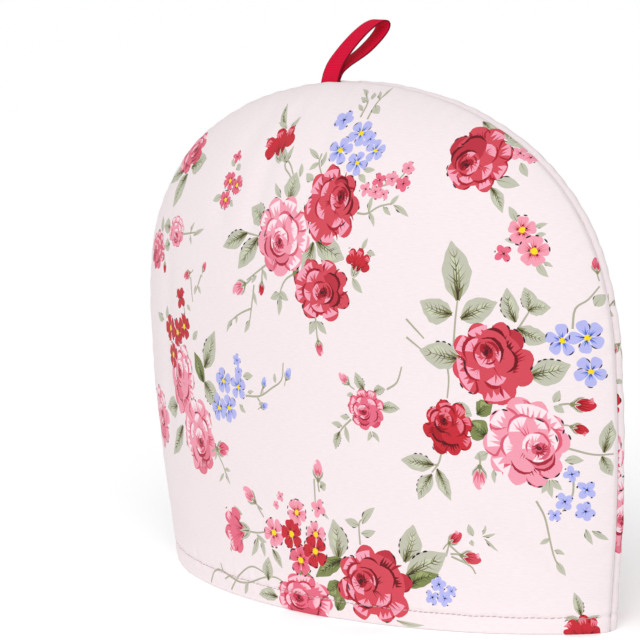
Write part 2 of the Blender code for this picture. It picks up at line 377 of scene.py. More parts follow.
GROUND = ink(248, 236, 238)
LINE_INK = ink(44, 20, 36)
YELLOW = ink(250, 222, 36)
AMBER = ink(216, 84, 60)
INKS = {
    "red": (ink(216, 74, 90), ink(170, 24, 44), ink(112, 6, 22), ink(246, 166, 188)),
    "crimson": (ink(202, 40, 54), ink(156, 12, 28), ink(100, 2, 14), ink(236, 124, 142)),
    "pink": (ink(246, 160, 180), ink(222, 92, 116), ink(172, 36, 58), ink(253, 232, 238)),
    "rose": (ink(234, 110, 136), ink(204, 54, 80), ink(150, 18, 42), ink(252, 198, 212)),
    "blue": (ink(186, 188, 242), ink(92, 128, 226), ink(64, 74, 170), ink(216, 216, 252)),
    "sage": (ink(196, 196, 178), ink(138, 140, 96), ink(92, 88, 48), ink(206, 210, 184)),
    "olive": (ink(128, 138, 82), ink(88, 98, 46), ink(46, 50, 24), ink(160, 168, 112)),
}
STEM_INK = ink(178, 176, 154)


def polar(reach, degrees):
    angle = math.radians(degrees)
    return np.array((reach * math.cos(angle), reach * math.sin(angle)))


def smooth_line(points, closed=False, steps=3):
    """A Catmull-Rom curve through the points."""
    p = np.asarray(points, float)
    if closed:
        p = np.concatenate([p[-1:], p, p[:2]])
    else:
        p = np.concatenate([2 * p[:1] - p[1:2], p, 2 * p[-1:] - p[-2:-1]])
    t = (np.arange(steps) / steps)[:, None]
    parts = []
    for a, b, c, d in zip(p, p[1:], p[2:], p[3:]):
        curved = 2 * b + (c - a) * t + (2 * a - 5 * b + 4 * c - d) * t**2 + (3 * b - a - 3 * c + d) * t**3
        parts.append(curved / 2)
    if not closed:
        parts.append(p[-2:-1])
    return np.concatenate(parts)


def brush(points, wide, start=0.0, end=0.0, steps=2):
    """Outline of a brush stroke. start and end are its widths there, as shares of the widest."""
    line = smooth_line(points, steps=steps)
    ahead = np.gradient(line, axis=0)
    side = np.stack([-ahead[:, 1], ahead[:, 0]], -1)
    side /= np.maximum(np.linalg.norm(side, axis=1, keepdims=True), 1e-12)
    t = np.linspace(0, 1, len(line))
    profile = start + (end - start) * t + 4 * t * (1 - t) * (1 - max(start, end))
    half = wide / 2 * np.maximum(profile, 0.06)[:, None]
    return np.concatenate([line + side * half, (line - side * half)[::-1]])


def arc_stroke(centre, reach, begin, finish, wide, ends=0.0):
    """A brush stroke round a centre, from one heading to another, in degrees."""
    places = [centre + polar(reach, begin + (finish - begin) * share) for share in (0, 0.33, 0.67, 1)]
    return brush(places, wide, start=ends, end=ends)


def comb(centre, base, tip, heading, spread, teeth, luck, lean=0.0):
    """A fan of brush marks in one shape: even along its base, and ragged at the tips of the marks."""
    centre = np.asarray(centre, float)
    outline = [centre + polar(base, heading + spread * (k / 4 - 0.5)) for k in range(5)]
    for k in range(teeth):
        place = heading + spread * (0.5 - (k + 0.5) / teeth)
        root = base + (tip - base) * luck.uniform(0.06, 0.30)
        outline.append(centre + polar(root, place + 0.5 * spread / teeth))
        reach = base + (tip - base) * luck.uniform(0.55, 1.0)
        outline.append(centre + polar(reach, place + lean + luck.uniform(-0.2, 0.2) * spread / teeth))
    return np.array(outline)


def oval(centre, long, short, turn=0.0, luck=None, wobble=0.05, points=9):
    """An uneven oval, as a brush leaves it."""
    outline = []
    for step in range(points):
        around = 360 * step / points
        uneven = 1 + (luck.uniform(-wobble, wobble) if luck else 0)
        x, y = polar(uneven, around) * (long, short)
        outline.append((x * math.cos(turn) - y * math.sin(turn), x * math.sin(turn) + y * math.cos(turn)))
    return np.asarray(centre) + smooth_line(outline, closed=True, steps=2)


def dashes_on(centre, reach, heading, luck, count, wide, sweep=15):
    """A row of short dark dashes on the rim of a petal."""
    for k in range(count):
        begin = heading + 2 * sweep * (k - count / 2) + luck.uniform(-4, 4)
        yield arc_stroke(centre, reach, begin, begin + sweep * luck.uniform(0.75, 1.25), wide, 0.4), LINE_INK


def rose_shapes(inks, heart_turn, heart_share, lit_turn, seed):
    """A rose of radius 1. Its heart lies off its middle one way, and its petals are lit from another."""
    body, shade, deep, light = inks
    dusk = body * 0.45 + shade * 0.55
    luck = random.Random(seed)

    def lit(heading):
        return math.cos(math.radians(heading - lit_turn)) + luck.uniform(-0.3, 0.3)

    heart = polar(heart_share, heart_turn)
    outer = luck.choice((8, 9, 10))
    start = luck.uniform(0, 40)
    rims = []
    for k in range(outer):
        heading = start + 360 * k / outer + luck.uniform(-9, 9)
        size = luck.uniform(0.25, 0.36)
        rims.append((polar(luck.uniform(0.96, 1.02) - size, heading), size, heading, lit(heading)))
    for centre, size, heading, facing in luck.sample(rims, outer):
        fill = dusk if facing < -0.9 else body
        yield oval(centre, size, size * 0.94, math.radians(heading), luck, 0.11), fill
        if luck.random() < 0.55:
            begin = heading + luck.choice((-95, 25))
            yield arc_stroke(centre, size * 0.93, begin, begin + luck.uniform(60, 85), 0.05), shade
    yield oval((0, 0), 0.80, 0.78, luck.uniform(0, 3), luck, 0.05), body
    for centre, size, heading, facing in rims:
        gap = heading + 180 / outer + luck.uniform(-6, 6)
        if luck.random() < 0.7:
            fold = [polar(luck.uniform(0.86, 0.92), gap), polar(0.74, gap + luck.uniform(-9, 9)),
                    polar(0.54, gap + luck.uniform(-24, 24))]
            yield brush(fold, luck.uniform(0.05, 0.09), start=0.2), shade
        turned = heading + luck.uniform(-10, 10)
        if facing > -0.35:
            sweep, depth = luck.uniform(22, 36), luck.uniform(0.50, 0.64)
            base, lean = luck.uniform(0.86, 0.92), luck.uniform(-6, 6)
            yield comb((0, 0), base, depth, turned, sweep, 3, luck, lean), light
        else:
            sweep, depth = luck.uniform(20, 34), luck.uniform(0.74, 0.90)
            lean = luck.uniform(-6, 6)
            mark = shade if facing > -0.75 else deep
            yield comb((0, 0), 0.54, depth, turned, sweep, 4, luck, lean), mark
    inner = luck.choice((5, 6))
    for k in range(inner):
        heading = heart_turn + 360 * (k + 0.5) / inner + luck.uniform(-12, 12)
        size = luck.uniform(0.30, 0.38)
        centre = heart * 0.35 + polar(0.34, heading)
        facing = lit(heading)
        begin = heading - luck.uniform(50, 90)
        fill = body if facing > -0.75 else dusk
        yield oval(centre, size, size * 0.92, math.radians(heading), luck, 0.08), fill
        edge = deep if facing < -0.4 else shade
        finish, wide = begin + luck.uniform(80, 150), luck.uniform(0.05, 0.10)
        yield arc_stroke(centre, size * 0.98, begin, finish, wide), edge
        if facing > -0.3:
            lip = heading + luck.uniform(-25, 25)
            sweep = luck.uniform(80, 130)
            yield comb(centre, size * 0.86, size * 0.08, lip, sweep, 5, luck, 16), light
        base = centre - polar(size, heading)
        mark = deep if facing < 0.2 else shade
        tip, turned = size * luck.uniform(1.1, 1.6), heading + luck.uniform(-20, 20)
        yield comb(base, size * 0.5, tip, turned, 34, 3, luck, 6), mark
    cup = heart * 0.85
    yield arc_stroke(cup, 0.37, lit_turn + 90, lit_turn + 240, 0.10), deep
    yield oval(cup, 0.36, 0.32, math.radians(lit_turn + luck.uniform(20, 80)), luck, 0.10), body
    turned, sweep = lit_turn + luck.uniform(-15, 15), luck.uniform(90, 130)
    yield comb(cup, 0.34, 0.10, turned, sweep, 6, luck, 14), light
    yield comb(cup, 0.33, 0.16, lit_turn + luck.uniform(110, 150), 45, 3, luck, 14), light
    folds = ((0.33, -80, 80, 0.05), (0.27, 130, 110, 0.08), (0.24, 20, 80, 0.05), (0.30, 250, 60, 0.05))
    for reach, begin, sweep, wide in folds:
        begin += lit_turn + luck.uniform(-20, 20)
        yield arc_stroke(cup, reach, begin, begin + sweep, wide), shade
    yield oval(heart, 0.20, 0.14, math.radians(lit_turn + 60), luck, 0.14), shade
    yield comb(heart, 0.08, 0.27, lit_turn + 180, 170, 8, luck, 16), deep
    yield comb(heart, 0.06, 0.19, lit_turn, 120, 5, luck, 16), deep
    yield arc_stroke(heart, 0.13, lit_turn - 50, lit_turn + 30, 0.05), light * 0.6 + body * 0.4
    pit = LINE_INK * 0.5 + deep * 0.5
    yield oval(heart, 0.07, 0.05, math.radians(lit_turn + 30), luck, 0.1), pit
    for centre, size, heading, facing in luck.sample(rims, 5):
        turned = heading + luck.uniform(-35, 35)
        yield from dashes_on(centre, size * 0.97, turned, luck, luck.choice((1, 2)), 0.042, 24)
    for _ in range(2):
        yield from dashes_on(heart * 0.35, luck.uniform(0.60, 0.68), luck.uniform(0, 360), luck, 1, 0.04)


def side_rose_shapes(inks, seed):
    """A half-open rose seen from its side, opening along +X with a frilled rim, its green calyx at -X."""
    body, shade, deep, light = inks
    green, _, green_deep, _ = INKS["sage"]
    luck = random.Random(seed)
    base = np.array((-0.82, 0.0))
    petals = (
        (48, 1.02, 0.36), (-46, 1.00, 0.38), (27, 1.38, 0.35), (-25, 1.40, 0.34), (2, 1.48, 0.36),
        (15, 0.95, 0.44), (-15, 0.92, 0.45),
    )
    for heading, reach, size in petals:
        centre = base + polar(reach, heading + luck.uniform(-4, 4))
        yield oval(centre, size, size * 0.92, math.radians(heading), luck, 0.10), body
        begin = heading + luck.choice((80, -150))
        yield arc_stroke(centre, size * 0.92, begin, begin + 70, 0.09), shade
    yield oval(base + (0.55, 0), 0.46, 0.42, 0, luck, 0.06), body
    for heading in (40, 22, 3, -17, -38):
        turned = heading + luck.uniform(-5, 5)
        marks = comb(base, 0.30, luck.uniform(0.95, 1.5), turned, 17, 3, luck, luck.uniform(-6, 6))
        yield marks, luck.choice((shade, shade, deep))
    for heading in (31, 8, -24):
        turned = heading + luck.uniform(-6, 6)
        tip, lean = luck.uniform(1.10, 1.28), luck.uniform(-6, 6)
        yield comb(base, 1.60, tip, turned, 17, 3, luck, lean), light
    for side in (-1, 1, 0):
        tip = (-0.30 - 0.1 * abs(side), 0.40 * side)
        yield brush([(-1.12, 0), (-0.80, 0.24 * side), tip], 0.34, start=0.6), green
        vein = [(-1.05, 0), (-0.78, 0.22 * side), (-0.46, 0.34 * side)]
        yield brush(vein, 0.07, start=0.9), green_deep
    for heading in (34, 5, -28):
        turned = heading + luck.uniform(-30, 30)
        yield from dashes_on(base + polar(1.45, heading), 0.36, turned, luck, 1, 0.06, 26)


def petal(heading, length, wide, notch):
    """One petal from the middle outwards, round or notched at its tip."""
    half = [(0.12, 0.06), (0.40, 0.36), (0.72, 0.50), (0.93, 0.34)]
    mirrored = [(x, -y) for x, y in reversed(half)]
    outline = np.array(half + [(1.0 - notch, 0.0)] + mirrored) * (length, wide)
    angle = math.radians(heading)
    turned = outline @ np.array(((math.cos(angle), math.sin(angle)), (-math.sin(angle), math.cos(angle))))
    return smooth_line(turned, closed=True, steps=2)


MIDDLE = 0.21             # of an open flower, as a share of its radius


def star_flower_shapes(inks, seed):
    """A small open flower of five notched petals, with a yellow middle ringed by red marks and anthers."""
    body, shade = inks[:2]
    luck = random.Random(seed)
    start = luck.uniform(0, 72)
    for k in range(5):
        heading = start + 72 * k + luck.uniform(-6, 6)
        yield petal(heading, luck.uniform(0.88, 1.04), luck.uniform(0.74, 0.84), 0.07), body
    for k in range(5):
        heading = start + 72 * k + luck.uniform(-5, 5)
        yield comb((0, 0), 0.16, 0.84, heading, 50, 4, luck), shade
        if luck.random() < 0.8:
            side = luck.choice((-24, 20))
            yield from dashes_on((0, 0), 0.92, heading + side * 0.7, luck, 2, 0.10)
    yield comb((0, 0), 0.1, 0.56, start, 359, 15, luck), AMBER
    yield oval((0.01, 0.01), MIDDLE, MIDDLE * 0.9, 0, luck, 0.14), YELLOW
    for k in range(5):
        place = polar(0.30, start + 72 * k + luck.uniform(-16, 16))
        yield oval(place, 0.065, 0.05, luck.uniform(0, 3), points=5), LINE_INK


def blue_flower_shapes(inks, seed):
    """A blue flower of five round petals, streaked from its small yellow middle."""
    body, shade, deep = inks[:3]
    luck = random.Random(seed)
    start = luck.uniform(0, 72)
    for k in range(5):
        heading = start + 72 * k + luck.uniform(-7, 7)
        yield petal(heading, luck.uniform(0.94, 1.10), luck.uniform(0.70, 0.80), 0.03), body
        tip = luck.uniform(0.58, 0.80)
        spread = comb((0, 0), 0.14, tip, heading + luck.uniform(-6, 6), 54, 3, luck)
        yield spread, shade * 0.7 + body * 0.3
        streak = [polar(0.12, heading - 8), polar(0.36, heading - 7), polar(tip * 0.9, heading - 10)]
        yield brush(streak, 0.12, start=0.9), shade * 0.6 + deep * 0.4
        if luck.random() < 0.8:
            aside = heading + luck.choice((-75, 20))
            yield from dashes_on(polar(0.62, heading), 0.38, aside, luck, 1, 0.08, 50)
    yield oval((0.02, 0), 0.22, 0.19, 0, luck, 0.14), YELLOW
    for k in range(3):
        heading = start + 110 * k + luck.uniform(-20, 20)
        yield brush([polar(0.14, heading), polar(0.40, heading + 8)], 0.08, start=0.8), LINE_INK


def floret_shapes(inks, seed):
    """A tiny blossom of four or five round petals with a dark eye and dark marks on its rim."""
    body, shade = inks[:2]
    luck = random.Random(seed)
    petals = luck.choice((4, 5))
    start = luck.uniform(0, 90)
    for k in range(petals):
        heading = start + 360 * k / petals + luck.uniform(-10, 10)
        round_petal = oval(polar(0.54, heading), 0.48, 0.40, math.radians(heading), luck, 0.1, points=7)
        yield round_petal, body
        yield comb((0, 0), 0.1, luck.uniform(0.5, 0.8), heading, 44, 2, luck), shade
    yield oval((0.05, 0), 0.15, 0.12, points=5), LINE_INK
    for k in range(3):
        yield from dashes_on((0, 0), 0.90, start + 130 * k + luck.uniform(-20, 20), luck, 1, 0.16)


def bud_shapes(inks, seed):
    """A bud that points along +X out of three green sepals."""
    body, shade, _, light = inks
    luck = random.Random(seed)
    green, green_shade, green_deep, _ = INKS["sage"]
    yield brush([(-1.7, -0.1), (-1.1, 0.03), (-0.6, 0)], 0.16, start=1, end=1), STEM_INK
    outline = [
        (-0.5, 0.0), (-0.2, 0.42), (0.35, 0.50), (0.85, 0.26),
        (1.04, 0.0), (0.78, -0.32), (0.25, -0.5), (-0.3, -0.38),
    ]
    yield smooth_line(outline, closed=True, steps=2), body
    yield comb((-0.9, 0), 0.6, 1.7, 0, 44, 4, luck), shade
    yield comb((-0.9, 0), 1.75, 1.3, 12 * luck.choice((-1, 1)), 16, 3, luck), light
    for tip in ((0.16, 0.60), (-0.10, 0.04), (0.10, -0.58)):
        middle = (-0.36 + 0.1 * luck.random(), tip[1] * 0.78)
        yield brush([(-0.86, 0), middle, tip], 0.30, start=0.5), green
        yield brush([(-0.74, 0), middle, (tip[0] * 0.5, tip[1] * 0.88)], 0.08, start=0.9), green_deep
    yield oval((-0.72, 0), 0.2, 0.19, 0, luck, 0.08, points=6), green_shade


def leaf_shapes(inks, wide, seed, finish):
    """A leaf from (0, 0) to (1, 0). finish is plain, veined or dashed, each with more drawing on it."""
    body, shade, deep, light = inks
    luck = random.Random(seed)
    bend = luck.uniform(-0.08, 0.08)

    def beside(t, share):
        swell_here = max(math.sin(math.pi * min(t, 1) ** 0.86), 0) ** 0.80
        return np.array((t, bend * math.sin(math.pi * t) + share * wide / 2 * swell_here))

    stations = (0.02, 0.11, 0.22, 0.34, 0.46, 0.58, 0.70, 0.82, 0.93)
    rough = 0.02 if finish == "plain" else 0.09
    upper = [beside(t, 1 + luck.uniform(-rough, rough)) for t in stations]
    lower = [beside(t, -1 - luck.uniform(-rough, rough)) for t in stations]
    outline = [beside(0, 0)] + upper + [beside(1.03, 0)] + lower[::-1]
    yield smooth_line(outline, closed=True, steps=2), body
    if finish == "plain":
        yield brush([beside(0, 0), beside(0.3, 0.05), beside(0.66, 0)], 0.05, start=1.0), shade
        if luck.random() < 0.5:
            side = luck.choice((-1, 1))
            dash = [beside(0.2, side), beside(0.35, side), beside(0.5, side)]
            yield brush(dash, 0.06, start=0.2, end=0.2), LINE_INK
        return
    glow = [beside(t, luck.uniform(-reach, reach)) for t, reach in ((0.35, 0.5), (0.55, 0.6), (0.82, 0.4))]
    yield brush(glow, 0.16 * (0.4 + wide)), light
    for side in (-1, 1):
        for share, low, high in ((0.42, 0.26, 0.42), (0.16, 0.46, 0.64)):
            reach = luck.uniform(low, high)
            shadow = [beside(0.0, 0), beside(reach * 0.4, share * side), beside(reach, 1.3 * share * side)]
            yield brush(shadow, 0.085 * (0.5 + wide), start=0.9), shade
    midrib = [beside(0, 0), beside(0.35, 0.03), beside(0.64, -0.02), beside(0.9, 0)]
    yield brush(midrib, 0.036, start=1.0), deep
    for t in (0.10, 0.22, 0.34, 0.46, 0.58, 0.70):
        for side in (-1, 1):
            reach = side * luck.uniform(0.45, 0.85)
            begin = t + luck.uniform(-0.04, 0.04)
            tip = beside(min(begin + 0.17, 0.96), reach)
            vein = [beside(begin, 0), beside(begin + 0.08, reach * 0.5), tip]
            yield brush(vein, 0.026, start=1.0), deep if luck.random() < 0.6 else shade
    for side in (-1, 0, 1):
        stroke = [beside(0.0, 0), beside(0.14, 0.10 * side), beside(luck.uniform(0.26, 0.40), 0.26 * side)]
        yield brush(stroke, 0.04, start=0.9), LINE_INK * 0.55 + deep * 0.45
    if finish == "dashed":
        side = luck.choice((-1, 1))
        first = luck.uniform(0.10, 0.30)
        for k in range(luck.choice((3, 4))):
            t = first + 0.16 * k + luck.uniform(-0.02, 0.02)
            dash = [beside(t, side), beside(t + 0.05, side * 1.02), beside(t + 0.10, side)]
            yield brush(dash, 0.040, start=0.4, end=0.4), LINE_INK


# THE LAYOUT. Where each flower, leaf and stem lies on the flat cut of the front, in millimetres across
# from the middle of the hem and up from its edge. Turns are in degrees, anticlockwise from the right.
MM = 0.001
BACK_CUT = (87, -20)      # where the back is cut from the printed cloth, against the front
ROSE_COLUMNS = ("p", "q", "wide", "tall", "heart_turn", "heart_share", "lit_turn", "inks")
ROSES = (
    (-8, 194, 40, 41, 240, 0.18, 70, "pink"),
    (20, 169, 38, 33, 300, 0.10, 170, "red"),
    (23, 211, 36, 41, 35, 0.38, 215, "red"),
    (101, 240, 35, 39, 215, 0.38, 330, "red"),
    (94, 105, 29, 29, 120, 0.30, 60, "crimson"),
    (118, 139, 43, 43, 115, 0.28, 235, "red"),
    (135, 100, 45, 45, 340, 0.30, 130, "pink"),
    (-2, 7, 42, 30, 160, 0.20, 90, "rose"),
    (47, 21, 48, 41, 170, 0.36, 225, "red"),
    (47, 111, 23, 22, 220, 0.22, 120, "rose"),
    (-107, 112, 32, 41, 130, 0.25, 60, "pink"),
    (-90, 83, 36, 43, 280, 0.15, 110, "pink"),
    (-142, 180, 28, 22, 200, 0.30, 60, "rose"),
    (-111, 191, 22, 17, 300, 0.20, 90, "pink"),
    (-118, 235, 36, 26, 20, 0.30, 150, "rose"),
    (-152, 86, 32, 36, 30, 0.25, 120, "pink"),
    (146, 262, 36, 34, 200, 0.25, 60, "pink"),
    (170, 240, 26, 26, 60, 0.30, 150, "red"),
)
# Half-open roses and buds: the place, the length, and the way that they point.
TURNED_COLUMNS = ("p", "q", "length", "turn", "inks")
SIDE_ROSES = (
    (-24, 241, 20, 118, "crimson"),
    (-57, 37, 23, 185, "rose"),
    (160, 4, 17, 90, "crimson"),
    (43, 184, 14, 70, "crimson"),
)
# Round blossoms: the place of the middle, the radius and the inks, which are blue where none is named.
BLOSSOM_COLUMNS = ("p", "q", "radius", "inks")
STARS = (
    (-59, 220, 5.5, "rose"), (-51, 218, 5.5, "rose"), (-60, 210, 5.5, "rose"), (130, 205, 8, "pink"),
    (137, 195, 8.5, "pink"), (-23, 40, 8.5, "pink"), (-4, 53, 7.5, "pink"), (9, 43, 7.5, "pink"),
    (-3, 28, 9, "rose"), (-9, 41, 8.5, "crimson"), (8, 34, 9, "crimson"), (-122, 138, 8, "crimson"),
    (-110, 137, 8, "crimson"), (-100, 141, 7.5, "crimson"), (-119, 124, 7.5, "crimson"),
)
BLUE_FLOWERS = (
    (30, 249, 7.5), (21, 239, 7.5), (34, 233, 6.5), (43, 240, 6), (153, 152, 8), (165, 154, 8.5),
    (167, 137, 8), (-60, 116, 7.5), (-46, 114, 7), (-66, 101, 7.5), (-56, 102, 7.5),
)
FLORETS = (
    (15, 256, 5.5), (37, 246, 4), (157, 85, 3.8), (164, 77, 4.6), (153, 71, 4.4), (163, 66, 4.6),
    (148, 64, 3.2), (85, 25, 4), (81, 18, 3.8), (88, 18, 3.8), (92, 22, 3), (-46, 128, 3.2), (-45, 122, 3),
    (160, 286, 5), (152, 290, 4.5), (168, 280, 4.5), (170, 220, 4, "pink"), (176, 214, 3.6, "pink"),
    (164, 213, 3.6, "pink"), (43, 220, 3.4, "pink"), (49, 219, 3.6, "pink"), (54, 218, 3, "pink"),
    (50, 225, 3.6, "rose"), (57, 226, 3.6, "pink"), (64, 224, 3.8, "rose"), (65, 232, 3.4, "pink"),
    (121, 245, 4.4, "pink"), (127, 243, 3.6, "pink"), (12, 57, 4.6, "pink"), (-16, 60, 2.6, "pink"),
    (-20, 55, 2.2, "pink"), (122, 193, 4.2, "rose"), (-58, 233, 3.2, "rose"), (-103, 156, 5.5, "crimson"),
)
BUDS = (
    (-41, 166, 12, 205, "pink"), (-23, 167, 7, 262, "crimson"), (18, 140, 8, 280, "rose"),
    (163, 120, 12, 358, "crimson"), (161, 108, 9, 345, "crimson"), (110, 82, 12, 265, "pink"),
    (95, 49, 9, 38, "red"), (103, 40, 11, 350, "red"), (34, 125, 8, 140, "pink"), (13, 76, 11, 88, "pink"),
    (-42, 57, 12, 145, "pink"), (-66, 79, 13, 10, "rose"), (-24, 118, 6, 75, "blue"),
    (-5, 124, 7, 60, "blue"), (-25, 106, 6, 20, "blue"), (-94, 169, 8, 200, "rose"),
    (-75, 174, 6, 60, "rose"), (-128, 171, 6, 270, "crimson"), (168, 190, 8, 100, "rose"),
    (132, 280, 9, 150, "crimson"), (124, 262, 10, 190, "pink"),
)
# Each leaf from its stalk to its tip. It is plain and sage where nothing else is named.
LEAF_COLUMNS = ("p0", "q0", "p1", "q1", "wide", "finish", "inks")
LEAVES = (
    (-13, 231, -20, 239, 5, "veined"), (-15, 231, -12, 240, 3), (-26, 250, -36, 265, 4, "veined"),
    (-25, 250, -33, 253, 3), (-22, 249, -18, 257, 3.5), (-5, 212, -4, 226, 11, "veined"),
    (-12, 213, -18, 220, 3.5), (-12, 212, -20, 209, 4), (-1, 224, -2, 231, 3),
    (-23, 201, -35, 207, 12, "dashed"), (-37, 194, -56, 186, 9, "dashed"),
    (-27, 192, -42, 176, 11, "dashed"), (8, 234, 0, 239, 3), (9, 232, 4, 228, 3), (11, 230, 12, 238, 3),
    (8, 223, 3, 226, 4.5), (16, 193, 34, 185, 13, "veined"), (14, 192, 8, 174, 9, "veined"),
    (40, 176, 46, 169, 4), (45, 190, 48, 196, 2.5), (48, 189, 53, 188, 3), (39, 230, 46, 230, 3),
    (37, 227, 42, 223, 3.5), (47, 209, 51, 202, 2.5), (47, 209, 48, 217, 2.5), (55, 212, 60, 208, 2.5),
    (61, 213, 70, 208, 3), (59, 213, 63, 218, 2.5), (25, 270, 23, 275, 3), (24, 268, 17, 271, 3),
    (24, 262, 19, 266, 2.5), (30, 266, 35, 261, 5), (20, 272, 13, 278, 2.5), (30, 270, 26, 277, 2),
    (31, 272, 32, 281, 2), (-9, 165, -16, 162, 4), (-9, 166, -3, 162, 4), (-9, 164, -10, 154, 3.5),
    (2, 173, 4, 180, 4.5, "plain", "olive"), (16, 153, 12, 146, 4.5), (17, 153, 23, 147, 4),
    (-30, 165, -27, 158, 2.5), (-33, 150, -38, 143, 3), (-48, 149, -54, 142, 2.5), (-44, 152, -45, 147, 2),
    (-27, 173, -31, 169, 2.5), (-22, 176, -19, 171, 2.5), (-56, 229, -52, 226, 4), (-58, 228, -62, 231, 3),
    (-55, 210, -51, 207, 3), (-64, 212, -71, 209, 4), (100, 169, 95, 197, 15, "veined"),
    (97, 162, 80, 167, 13, "veined"), (102, 160, 120, 169, 12, "veined"), (130, 160, 125, 176, 9, "dashed"),
    (137, 166, 134, 177, 8, "dashed"), (136, 166, 147, 168, 8, "veined"), (131, 157, 147, 152, 9, "veined"),
    (101, 140, 80, 143, 14, "dashed"), (137, 134, 157, 140, 13, "dashed"), (123, 239, 128, 232, 4),
    (113, 229, 125, 227, 6), (111, 225, 119, 213, 6, "veined"), (127, 209, 122, 216, 4),
    (136, 207, 142, 209, 2.5), (137, 203, 142, 204, 2.5), (128, 199, 122, 200, 3), (139, 190, 145, 183, 4),
    (142, 190, 147, 188, 2), (168, 170, 173, 176, 6), (110, 113, 118, 119, 9, "veined", "olive"),
    (115, 102, 105, 109, 11, "veined", "olive"), (99, 118, 107, 112, 7, "veined"), (149, 121, 152, 127, 4),
    (149, 119, 154, 116, 4), (173, 96, 177, 112, 8, "veined"), (172, 94, 177, 84, 7, "veined"),
    (154, 92, 163, 92, 4.5), (145, 82, 142, 75, 3.5), (146, 82, 147, 73, 3.5), (147, 82, 152, 77, 3.5),
    (85, 86, 67, 87, 9, "dashed"), (84, 81, 76, 68, 8, "dashed"), (87, 84, 94, 69, 7, "veined"),
    (115, 94, 108, 91, 5), (118, 86, 118, 79, 2.5), (105, 51, 103, 57, 3.5), (104, 49, 105, 46, 2.5),
    (111, 50, 118, 44, 1.6), (110, 52, 112, 57, 1.6), (110, 51, 117, 53, 1.6),
    (66, 35, 72, 54, 13, "dashed"), (67, 28, 90, 41, 14, "dashed"), (67, 22, 85, 30, 8, "veined", "olive"),
    (145, 52, 140, 49, 2.5), (147, 46, 152, 44, 2.5), (148, 40, 152, 33, 3.5), (163, 57, 166, 49, 3),
    (166, 56, 174, 51, 3), (159, 12, 156, 24, 5, "dashed"), (158, 9, 151, 11, 4, "dashed"),
    (161, 9, 168, 12, 3), (60, 4, 76, 3, 2.5), (46, 121, 41, 129, 6, "dashed"),
    (52, 120, 59, 122, 5, "dashed"), (56, 112, 67, 113, 6, "veined"), (36, 106, 30, 106, 3),
    (31, 101, 24, 102, 3), (29, 98, 26, 89, 5, "dashed"), (33, 101, 35, 93, 3), (49, 100, 47, 95, 2.5),
    (50, 100, 54, 95, 2.5), (39, 118, 35, 117, 2.5), (24, 32, 22, 52, 13, "dashed"),
    (27, 32, 8, 21, 9, "veined", "olive"), (24, 20, 15, 13, 9, "dashed", "olive"),
    (22, 5, 26, 14, 8, "veined", "olive"), (6, 17, -6, 22, 6, "veined", "olive"),
    (-25, 31, -18, 22, 5, "veined"), (-30, 14, -29, 26, 9, "veined"), (-49, 10, -53, 3, 3.5),
    (-23, 6, -39, 5, 7, "veined"), (39, 51, 30, 53, 4.5), (40, 47, 49, 49, 4), (41, 52, 49, 61, 4.5),
    (-37, 36, -44, 25, 4), (-34, 35, -32, 26, 3.5), (-38, 37, -30, 34, 3), (-50, 46, -57, 50, 3),
    (14, 68, 18, 70, 5, "dashed"), (12, 57, 19, 52, 2), (-79, 121, -66, 141, 12, "dashed"),
    (-81, 113, -89, 128, 9, "veined", "olive"), (-80, 113, -67, 102, 12, "dashed"),
    (-118, 96, -136, 93, 12, "veined"), (-111, 86, -131, 68, 10, "veined"),
    (-107, 226, -91, 231, 12, "veined"), (-110, 222, -121, 204, 12, "veined"),
    (-117, 224, -142, 217, 9, "veined"), (-120, 192, -132, 193, 8, "veined"), (-134, 190, -138, 198, 6),
    (-120, 184, -128, 182, 7, "veined"), (-88, 190, -77, 194, 2.5), (-92, 191, -88, 197, 2),
    (-92, 190, -90, 185, 2), (-132, 142, -141, 145, 5), (-128, 143, -126, 150, 4), (-41, 120, -33, 121, 4),
    (-38, 112, -33, 113, 2), (-46, 105, -41, 101, 3), (-15, 119, -15, 124, 2.5), (-29, 107, -24, 106, 3),
    (-72, 80, -75, 72, 3), (-65, 68, -59, 68, 2.2), (-64, 67, -60, 61, 2.2), (-66, 66, -71, 61, 2.2),
    (-84, 164, -86, 159, 2.5), (-82, 164, -79, 160, 2.5), (-95, 153, -91, 150, 2.5), (-90, 135, -84, 140, 4),
    (96, 262, 106, 257, 5, "veined"), (105, 259, 117, 252, 5.5, "veined"),
    (131, 256, 112, 250, 12, "dashed"), (136, 276, 124, 290, 11, "veined"),
    (160, 254, 168, 268, 10, "veined", "olive"), (180, 250, 190, 264, 11, "dashed"),
    (166, 228, 158, 214, 9, "veined"), (150, 246, 148, 232, 11, "veined"),
)
STEM_WIDTH = 1.15
